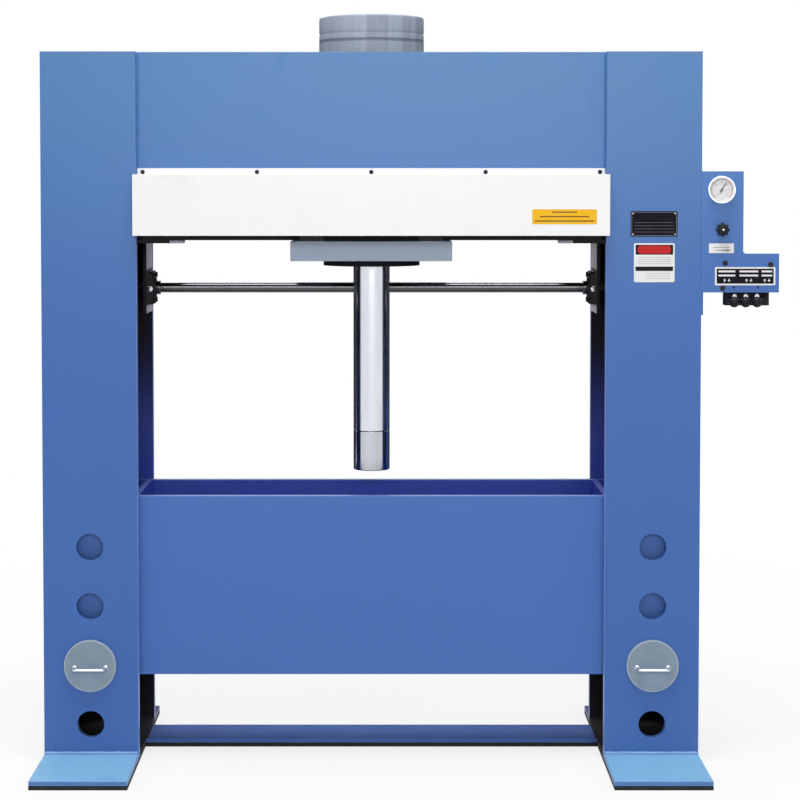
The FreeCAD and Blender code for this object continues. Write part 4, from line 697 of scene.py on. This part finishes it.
dress(silver_spray(), "cylinder_barrel", "cylinder_cap", edge=1, turn=50)
dress(machine_enamel("gland_black", (0.008, 0.0085, 0.009), (0.006, 0.0065, 0.007), (0.02, 0.021, 0.023),
                     (0.04, 0.04, 0.043), 0.5, sheen=0.1), "gland_flange", edge=1.2, turn=50)
dress(bright_metal("bush_bronze", (0.6, 0.4, 0.17), 0.3, (12, 12, 600), 0.1), "gland_bush")
bolts = Workpiece()
for bolt in range(8):
    centre = (*swung(GLAND_CIRCLE, 45 * bolt + 22.5), GLAND_SEAT)
    bolts.socket_screw(centre, "z", -1, 14.6, 13)
bolts.done("gland_socket_screws", [fastener_black], "fastener", ["flange_bolts"], "carriage")


# ---- Ram
# A hard-chromed and polished bar with a ground steel nose pinned into its lower end. Its cast iron
# piston runs in the barrel above.

NOSE_TOP, NOSE_TIP = 1.052, 0.920


def hard_chrome():
    """Polished chrome: rings too fine to see, a faint vertical drift and a wiped film of oil."""
    place = new_finish("hard_chrome")
    polish = place.streaks((5, 5, 1300), 2)
    oil = place.streaks((26, 26, 5), 4).rise(0.35, 0.8)
    return place.surface(oil.mix((0.74, 0.765, 0.81), (0.66, 0.69, 0.75)), 0.13 + polish * 0.05 + oil * 0.07,
                         Metallic=1.0, Normal=polish.bump(0.00003, 0.3))


def ground_nose():
    """Ground steel, dull towards the tip where it has pressed, with short scratches."""
    place = new_finish("ground_nose")
    height = place.part(2)
    grind = place.streaks((9, 9, 800))
    worn = 1 - height.rise(NOSE_TIP, NOSE_TIP + 0.05)
    scratch = place.streaks((400, 400, 30), 4, 0.7).rise(0.62, 0.72)
    runs = place.streaks((45, 45, 2)).rise(0.35, 0.7)
    joint = height.rise(NOSE_TOP - 0.0022, NOSE_TOP - 0.0014)
    dull = worn * 0.3 + scratch * 0.25 + grind * 0.15 + runs * 0.3
    colour = dull.mix((0.61, 0.63, 0.68), (0.34, 0.345, 0.36))
    return place.surface(joint.mix(colour, (0.02, 0.02, 0.022)),
                         0.1 + grind * 0.05 + worn * 0.1 + joint * 0.3, Metallic=1.0,
                         Normal=(grind + scratch * 0.5).bump(0.00003, 0.4))


dress(hard_chrome(), "ram", edge=0.8, turn=50)
dress(ground_nose(), "ram_nose", edge=0.8, turn=50)
dress(cast_black, "piston")


# ---- Control panel
# An L-shaped front of 6 mm plate with bent edges, flush with the columns, on a strap that is welded to
# the column's side. Painted as the frame; black screws hold the valve behind it and the plate in front.

PANEL_FACE = -COLUMN_FACE

# Its painted sheen higher up is a little paler than the frame's.
panel_blue = blue_enamel("panel_blue", (0.041, 0.139, 0.43), (0.037, 0.127, 0.41),
                         painted_sheen=(0.056, 0.188, 0.46), gloss=0.36)
dress(panel_blue, "control_panel", edge=1.2)
screws = Workpiece()
for x, z in ((1131, 1613), (1276, 1608), (1123, 1533)):
    screws.turned([(8.5, 0), (8.5, -1.2)], (x, PANEL_FACE, z), "y", 24)
    screws.socket_screw((x, PANEL_FACE - 1.2, z), "y", -1, 6.5, 5)
for x in (1158, 1236):
    screws.socket_screw((x, PANEL_FACE, 1536), "y", -1, 3.5, 2.5)
screws.done("panel_screws", [fastener_black], "fastener")
welds = Workpiece()
for z in (1450, 1560, 1670, 1780, 1876):
    welds.weld((COLUMN_OUT, -200, z), (COLUMN_OUT, -200, z + 26), RIGHT, BACK, 6)
welds.done("panel_strap_welds", [panel_blue], "panel_blue")


# ---- Pressure gauge
# A bought-in dial gauge, let into the panel: rolled stainless bezel, flat glass, a printed dial with
# plain figures and a black pointer.

GAUGE_X, GAUGE_Z, DIAL_FACE = 1117.0, 1847.0, -267.0
SCALE_START, SCALE_STEP = 225.0, 4.5


def figures(work, text, height, x, y, z):
    """Plain printed figures that face the operator."""
    line = bpy.data.curves.new("figures", "FONT")
    line.body = text
    line.size = height * 1.4
    line.extrude = 0.04
    line.align_x = line.align_y = "CENTER"
    printed = bpy.data.meshes.new_from_object(bpy.data.objects.new("figures", line))
    printed.transform(Matrix.Translation((x, y, z)) @ Matrix.Rotation(pi / 2, 4, "X"))
    printed.polygons.foreach_set("material_index", [work.finish] * len(printed.polygons))
    work.metal.from_mesh(printed)


def on_dial(reach, step):
    return swung(reach, SCALE_START - SCALE_STEP * step, GAUGE_X, GAUGE_Z)


def smooth_plastic(name, colour, gloss, grain=700):
    """Moulded plastic: faint flow marks, fine grain, finger marks in the gloss."""
    place = new_finish(name)
    touch = place.cloud(90, 4).rise(0.4, 0.75)
    lighter = tuple(value * 1.5 + 0.003 for value in colour)
    return place.surface((touch * 0.6).mix(colour, lighter), gloss + touch * 0.14, 0.16,
                         Normal=place.cloud(grain, 2).bump(0.00012, 0.25))


def thin_glass():
    """Thin flat glass: clear, so that only its gloss and a light haze of dust can be seen."""
    place = new_finish("gauge_glass")
    haze = place.cloud(160, 4).rise(0.5, 0.8)
    return place.surface((0.75, 0.77, 0.78), 0.03 + haze * 0.05, IOR=1.45, Alpha=0.08 + haze * 0.05,
                         Normal=haze.bump(0.00001, 0.1))


dress(bright_metal("bezel_steel", (0.8, 0.83, 0.88), 0.3, (500, 500, 500)), "gauge_case", edge=0.6, turn=50)
dress(film("dial_white", (0.84, 0.82, 0.82), (0.78, 0.75, 0.75), 0.2), "gauge_dial")
print_black = film("print_black", (0.007, 0.007, 0.008), (0.016, 0.016, 0.016), 0.12, 0.7)
print_red = film("print_red", (0.5, 0.012, 0.015), (0.55, 0.05, 0.045), 0.2, 0.6)
scale = Workpiece()
for step in range(61):
    numbered = step % 10 == 0
    half, low = (0.45, 27.5) if numbered else (0.22, 30.5 if step % 5 else 29.0)
    across = SCALE_START - 90 - SCALE_STEP * step
    scale.finish = 1 if step > 52 else 0
    tick = [swung(aside, across, *on_dial(reach, step)) for aside, reach in oblong(-half, low, half, 33.5)]
    scale.cut(tick, DIAL_FACE, DIAL_FACE - 0.1, "y")
    if numbered:
        x, z = on_dial(22.5, step)
        figures(scale, str(step), 3.6, x, DIAL_FACE - 0.08, z)
for step in range(60):
    scale.finish = 1 if step > 51 else 0
    rim = [on_dial(reach, end) for end, reach in oblong(step, 34.6, step + 1, 33.3)]
    scale.cut(rim, DIAL_FACE, DIAL_FACE - 0.08, "y")
scale.done("gauge_scale", [print_black, print_red], "needle_black")
dress(smooth_plastic("pointer_black", (0.012, 0.012, 0.013), 0.4), "gauge_needle")
clear_glass = thin_glass()
dress(clear_glass, "gauge_glass")


# ---- Pressure knob
# A knob of black plastic with eight lobes on the spindle of the pressure valve, held by a plated screw.
# The valve's cast body is nutted behind the panel.

KNOB_X, KNOB_Z, KNOB_FACE = 1120.0, 1720.0, -291.3

knob_black = smooth_plastic("knob_black", (0.008, 0.008, 0.009), 0.4)
lobes = [16.8 + 5.2 * max(0.0, cos(radians(30 * step))) ** 0.7 for step in range(96)]
knob = Workpiece()
knob.skin([[upright("y", *swung(reach - inset, 3.75 * step, KNOB_X, KNOB_Z), along)
            for step, reach in enumerate(lobes)]
           for inset, along in ((1.2, -265.3), (0.0, -266.8), (0.0, KNOB_FACE + 6), (1.0, KNOB_FACE + 2.5),
                                (3.2, KNOB_FACE + 0.6), (7.0, KNOB_FACE))])
knob.turned([(5.0, -266), (5.0, -205.5)], (KNOB_X, 0, KNOB_Z), "y", 20)
knob.finish = 1
knob.turned([(3.2, 0.2), (3.1, -0.3), (2.6, -0.5)], (KNOB_X, KNOB_FACE, KNOB_Z), "y")
knob.done("pressure_hand_knob", [knob_black, bright_zinc], "knob_black", ["pressure_knob"],
          "pressure_knob", turn=55)
valve_black = casting("valve_black", (0.009, 0.009, 0.0105), (0.05, 0.05, 0.054), 500, 0.6, 0.2)
dress(valve_black, "relief_valve", edge=1, turn=40)


# ---- Plates on the column and the panel
# Thin aluminium and plastic plates, riveted or stuck on. They are left bare or carry plain colour
# fields, rules and arrows only.

class Plate(Workpiece):
    """A plate with rounded corners on the column or the panel, and what is printed on its face."""

    def __init__(self, left, low, right, high, corner, thick):
        super().__init__()
        self.face = PANEL_FACE
        self.field(0, left, low, right, high, corner, thick)
        self.face -= thick

    def field(self, finish, left, low, right, high, corner=0.6, thick=0.08, lift=0.0):
        """A field with rounded corners, as thin as print and lift above the face."""
        self.finish = finish
        middles = oblong(left + corner, low + corner, right - corner, high - corner)
        outline = [swung(corner, start + turn, *middle)
                   for start, middle in zip((180, 270, 0, 90), middles) for turn in (0, 30, 60, 90)]
        self.cut(outline, self.face - lift, self.face - lift - thick, "y")

    def rivets(self, finish, left, low, right, high, radius):
        self.finish = finish
        for x, z in oblong(left, low, right, high):
            self.turned([(radius, 0), (radius * 0.94, -radius * 0.3), (radius * 0.7, -radius * 0.55),
                         (radius * 0.3, -radius * 0.68)], (x, self.face, z), "y", 20)


plate_black = film("plate_black", (0.006, 0.005, 0.01), (0.014, 0.012, 0.02), 0.1, 0.7)
plate_white = film("plate_white", (0.78, 0.78, 0.785), (0.68, 0.68, 0.67))
print_grey = film("print_grey", (0.25, 0.25, 0.27), (0.33, 0.33, 0.34), 0.2)

plate = Plate(828, 1698, 977.5, 1778.6, 3, 0.9)
plate.field(1, 831, 1701, 974.5, 1775.6)
plate.field(0, 832, 1702, 973.5, 1774.6, lift=0.05)
for z in (1742, 1732, 1722, 1712):
    plate.field(1, 840, z, 965.5, z + 0.6, 0.2, lift=0.1)
plate.rivets(2, 835.5, 1705.5, 970, 1771.1, 2.4)
plate.done("data_plate", [plate_black, print_grey, bright_zinc])

plate = Plate(839, 1552, 969, 1676.5, 4, 0.8)
plate.field(3, 844, 1640, 964, 1671.5, 2)
plate.field(1, 850, 1643, 958, 1668.5, 11, lift=0.08)
plate.field(3, 844, 1588, 964, 1602, 1)
for z in (1630, 1623.5, 1617, 1610.5):
    plate.field(2, 851, z, 957, z + 1.2, 0.3)
for z in (1579, 1571.5, 1564):
    plate.field(2, 875, z, 955, z + 1.2, 0.3)
plate.rivets(4, 843, 1556, 965, 1672.5, 1.6)
plate.done("sign_plate", [plate_white, print_red, print_grey, print_black, bright_zinc])

plate = Plate(1078, 1645, 1158, 1676, 2, 0.7)
plate.field(1, 1092, 1662, 1144, 1664)
plate.cut([(1088, 1654), (1136, 1656.5), (1136, 1659), (1148, 1654), (1136, 1649), (1136, 1651.5)],
          plate.face, plate.face - 0.1, "y")
plate.done("knob_label", [plate_white, print_grey])

plate = Plate(1098, 1542, 1291, 1600.5, 2, 1.0)
plate.field(1, 1103.5, 1547.5, 1285.5, 1595)
for middle, reach in ((1136, 27), (1206, 30), (1264, 17)):
    for z in (1583.5, 1570.5):
        plate.field(0, middle - reach, z, middle + reach, z + 6, 1, 0.06, 0.08)
    for x, way in ((middle - 7, 1), (middle + 7, -1)):
        base, tip = 1558 - way * 5, 1558 + way * 5
        plate.cut([(x - 1.6, base), (x + 1.6, base), (x + 1.6, 1558), (x + 5, 1558), (x, tip), (x - 5, 1558),
                   (x - 1.6, 1558)], plate.face - 0.08, plate.face - 0.15, "y")
plate.done("control_plate", [plate_white, plate_black])


# ---- Lever valve
# A black cast valve block behind the panel's lower edge, with three levers between ears on its nose.
# Plated nuts lock the ends of the spools, and a round plug closes the spare one.

VALVE_NOSE, LEVER_Y, LEVER_Z = -228.0, -239.0, 1492.0
LEVER_X = (1148.5, 1184.5, 1220.5)

dress(valve_black, "lever_valve", edge=1.2, turn=40)
fittings = Workpiece()
for x in LEVER_X:
    nut = (x + 17, VALVE_NOSE, 1506)
    fittings.turned([(8.2, 0, 1), (8.2, -6, 1), (7.6, -7, 1), (5.5, -7)], nut, "y", 24)
    fittings.turned([(3.4, -6), (3.4, -11), (2.4, -12)], nut, "y", 20)
fittings.finish = 1
fittings.turned([(15, 0), (15, -9), (12.5, -15), (8, -18.5), (3, -20)], (1259, VALVE_NOSE, 1494), "y")
for x in LEVER_X:
    fittings.turned([(6.5, -0.5), (6.5, 1.2)], (x - 11.3, LEVER_Y, LEVER_Z), "x", 24)
fittings.done("valve_fittings", [bright_zinc, valve_black], "valve_black")


# ---- Levers
# Turned steel levers, oil-blackened, on the cross pins of the valve's ears. A moulded ball knob is
# screwed on the end of each.

LEVER_LENGTH, BALL = 96.0, 17.0

ball_black = smooth_plastic("ball_black", (0.007, 0.007, 0.008), 0.2, 1500)
lever_steel = blackened("lever_steel", (0.035, 0.035, 0.038), 0.3)
for x, name in zip(LEVER_X, ("left_lever", "middle_lever", "right_lever")):
    lever = Workpiece()
    lever.turned([(9.0, -6.4), (9.0, 6.4)], (x, LEVER_Y, LEVER_Z), "x")
    lever.turned([(6.2, -4), (6.0, -16), (4.5, -19), (4.2, 20 - LEVER_LENGTH), (5.6, 19 - LEVER_LENGTH),
                  (5.6, 14 - LEVER_LENGTH)], (x, LEVER_Y, LEVER_Z), "y", 24)
    lever.finish = 1
    lever.turned([(7.0, 15.5)] + [swung(BALL, turn) for turn in range(60, -90, -10)],
                 (x, LEVER_Y - LEVER_LENGTH, LEVER_Z), "y", 40)
    lever.done(name + "_with_ball", [lever_steel, ball_black], "lever_black", [name], name, edge=0.5, turn=50)


# ---- Tank and its bracket
# A welded console on the back of the right column carries the oil tank: a folded box with a bolted lid,
# a sight glass, a drain plug and, on the lid, the outlet block. All are painted as the frame.

TANK_BACK, LID_TOP, BRACKET_X = 680.0, 1060.0, 797.0

dress(frame_blue, "unit_bracket", edge=1.8)
dress(panel_blue, "tank", edge=4, segments=3)
dress(panel_blue, "tank_lid", edge=1.2, turn=40)
welds = Workpiece()
welds.weld((BRACKET_X - 2, COLUMN_FACE, 402), (BRACKET_X - 2, COLUMN_FACE, 618), LEFT, BACK)
for z, one, other, leg in ((620, BACK, UP, 6), (400, (0, 0, -1), BACK, 7)):
    welds.weld((BRACKET_X, COLUMN_FACE, z), (COLUMN_OUT - 2, COLUMN_FACE, z), one, other, leg)
welds.done("bracket_welds", [frame_blue], "frame_blue")

sight_oil = smooth_plastic("sight_oil", (0.32, 0.15, 0.02), 0.12)
fittings = Workpiece()
for x in (804, 960, 1116):
    for y in (284, 480, 676):
        if (x, y) != (960, 480):
            fittings.hex_screw((x, y, LID_TOP), "z", 1, 7, 6)
drain = (960, TANK_BACK, 655)
fittings.turned([(15, 0), (15, 1.6)], drain, "y")
fittings.turned([(11, 1.6, 1), (11, 6.8, 1), (10, 7.8, 1), (7, 7.8)], drain, "y", 24)
fittings.finish = 1
fittings.cut(oblong(1046, 700, 1074, 860), TANK_BACK, TANK_BACK + 3, "y")
for z in (716, 844):
    fittings.turned([(13, 3), (13, 6.6), (11, 7.8)], (1060, TANK_BACK, z), "y", 28)
for finish, low, high in ((2, 728, 790), (3, 790.2, 832)):
    fittings.finish = finish
    fittings.cut(oblong(1053.5, low, 1066.5, high), TANK_BACK + 3, TANK_BACK + 6.6, "y")
fittings.done("tank_fittings", [bright_zinc, knob_black, sight_oil, clear_glass], "handle_zinc", edge=0.4)
dress(smooth_plastic("breather_black", (0.016, 0.016, 0.017), 0.42), "filler_cap", edge=1.2, turn=40)


# ---- Motor and pump
# An upright flange motor with a finned aluminium housing, painted dark grey, a pressed fan cover with a
# ringed grille and a terminal box. The pump hangs below it in the oil.

MOTOR_X, MOTOR_Y, MOTOR_TOP = 965.0, 530.0, 1402.0
FLANGE_TOP, FLANGE_CIRCLE = 1074.0, 99.0

motor_grey = casting("motor_grey", (0.075, 0.09, 0.115), (0.2, 0.21, 0.23), 700, 0.42)
dress(motor_grey, "motor", edge=1, turn=40)
dress(bright_metal("pump_iron", (0.3, 0.3, 0.305), 0.42, (150, 150, 150), 0.1), "pump")
fittings = Workpiece()
for turn in (45, 135, 225, 315):
    fittings.hex_screw((*swung(FLANGE_CIRCLE, turn, MOTOR_X, MOTOR_Y), FLANGE_TOP), "z", 1, 8, 7)
for y in (MOTOR_Y - 36, MOTOR_Y + 36):
    for z in (1168, 1250):
        fittings.socket_screw((1090, y, z), "x", 1, 4, 3)
fittings.finish = 1
grille = (MOTOR_X, MOTOR_Y, MOTOR_TOP)
for radius in (20, 32, 44, 56, 68):
    fittings.turned([(radius - 1.6, 0), (radius - 1.6, 1.8), (radius - 0.8, 2.4), (radius + 0.8, 2.4),
                     (radius + 1.6, 1.8), (radius + 1.6, 0)], grille, "z", 64, hollow=True)
for turn in range(0, 360, 60):
    spoke = [swung(aside, turn + 90, *swung(reach, turn, MOTOR_X, MOTOR_Y))
             for reach, aside in oblong(6, -1.5, 72, 1.5)]
    fittings.cut(spoke, MOTOR_TOP, MOTOR_TOP + 1.6)
fittings.turned([(12, 0), (12, 2.6), (10.5, 3.2)], grille, "z", 40)
fittings.done("motor_fittings", [fastener_black, motor_grey], "motor_grey", edge=0.3)


# ---- Stage
# A plain pale floor, soft studio light from above, in front, behind and both sides, and the camera where
# the photograph was taken from: square to the front, as high as the gauge and tilted slightly down.

def seen(finish):
    """1 for rays from the camera, from gloss and through glass, and 0 for those that light the press."""
    straight, glossy, through = (finish.node("LightPath", {}, {}, "Is " + ray + " Ray")
                                 for ray in ("Camera", "Glossy", "Transmission"))
    return (straight + glossy + through).rise(0.0, 0.5)


def studio_floor(near=1.6, far=4.5):
    """Pale paper that keeps the shadow of the press, and from near to far fades into the background."""
    place = new_finish("studio_floor")
    mottle = place.cloud(3)
    paper = place.shader(mottle.mix((0.8, 0.8, 0.8), (0.84, 0.84, 0.84)), 0.8 + mottle * 0.1, 0.1)
    glow = place.node("Emission", {}, {"Color": (1, 1, 1), "Strength": 1.0})
    share = (0.8 + 0.2 * place.away().rise(near, far)) * seen(place)
    return place.ends_in(place.node("MixShader", {}, {0: share, 1: paper, 2: glow}))


def dark_felt():
    """Black felt that the camera doesn't see, and that polished metal mirrors."""
    place = new_finish("dark_curtain")
    nap = place.cloud(4)
    return place.surface(nap.mix((0.012, 0.012, 0.014), (0.02, 0.02, 0.024)), 0.9 + nap * 0.1)


def stage_sheet(name, corners, finish):
    mesh = bpy.data.meshes.new(name)
    mesh.from_pydata(corners, [], [(0, 1, 2, 3)])
    mesh.materials.append(finish)
    piece = placed(name, mesh)
    return piece


stage_sheet("studio_floor", [(x, y, 0) for x, y in oblong(-30, -30, 30, 30)], studio_floor())
curtain = stage_sheet("dark_curtain", [(x, 3.4, z) for x, z in oblong(-11, 0, 11, 2.7)], dark_felt())
for rays in ("camera", "diffuse", "transmission", "shadow"):
    setattr(curtain, "visible_" + rays, False)

sky = emptied(bpy.data.worlds.new("studio"))
ambient = sky.node("Background", {}, {"Color": (1, 1, 1), "Strength": 0.22})
backdrop = sky.node("Background", {}, {"Color": (1, 1, 1), "Strength": 1.0})
shown = sky.node("MixShader", {}, {0: seen(sky), 1: ambient, 2: backdrop})
bpy.context.scene.world = sky.ends_in(shown, "OutputWorld")


def softbox(name, place, aim, width, height, power, mirrored=True):
    lamp = bpy.data.lights.new(name, "AREA")
    lamp.shape = "RECTANGLE"
    lamp.size = width
    lamp.size_y = height
    lamp.energy = power
    stand = placed(name, lamp)
    stand.location = place
    stand.rotation_euler = (Vector(aim) - Vector(place)).to_track_quat("-Z", "Y").to_euler()
    stand.visible_glossy = mirrored


softbox("overhead_softbox", (0.0, -1.9, 7.0), (0, -0.3, 0), 3.5, 2.2, 305)
softbox("front_softbox", (0.3, -7.4, 2.9), (0, 0, 1.3), 4.2, 1.6, 166)
softbox("rear_softbox", (-0.5, 5.0, 5.0), (0, 0.3, 1.0), 4.0, 3.0, 190)
for side, name in ((-1, "left"), (1, "right")):
    softbox(name + "_softbox", (side * 6.5, 0.25, 2.6), (side, 0.1, 1.1), 1.0, 2.4, 110, mirrored=False)

lens = bpy.data.cameras.new("camera")
lens.lens = 98.83
lens.sensor_width = 36.0
lens.shift_x = 0.0254
lens.shift_y = -0.135
lens.clip_end = 200.0
camera = placed("camera", lens)
camera.location = (0.0269, -7.272, 1.84065)
camera.rotation_euler = (pi / 2 - 0.0456, 0, 0)
bpy.context.scene.camera = camera
bpy.context.scene.view_settings.view_transform = "Standard"
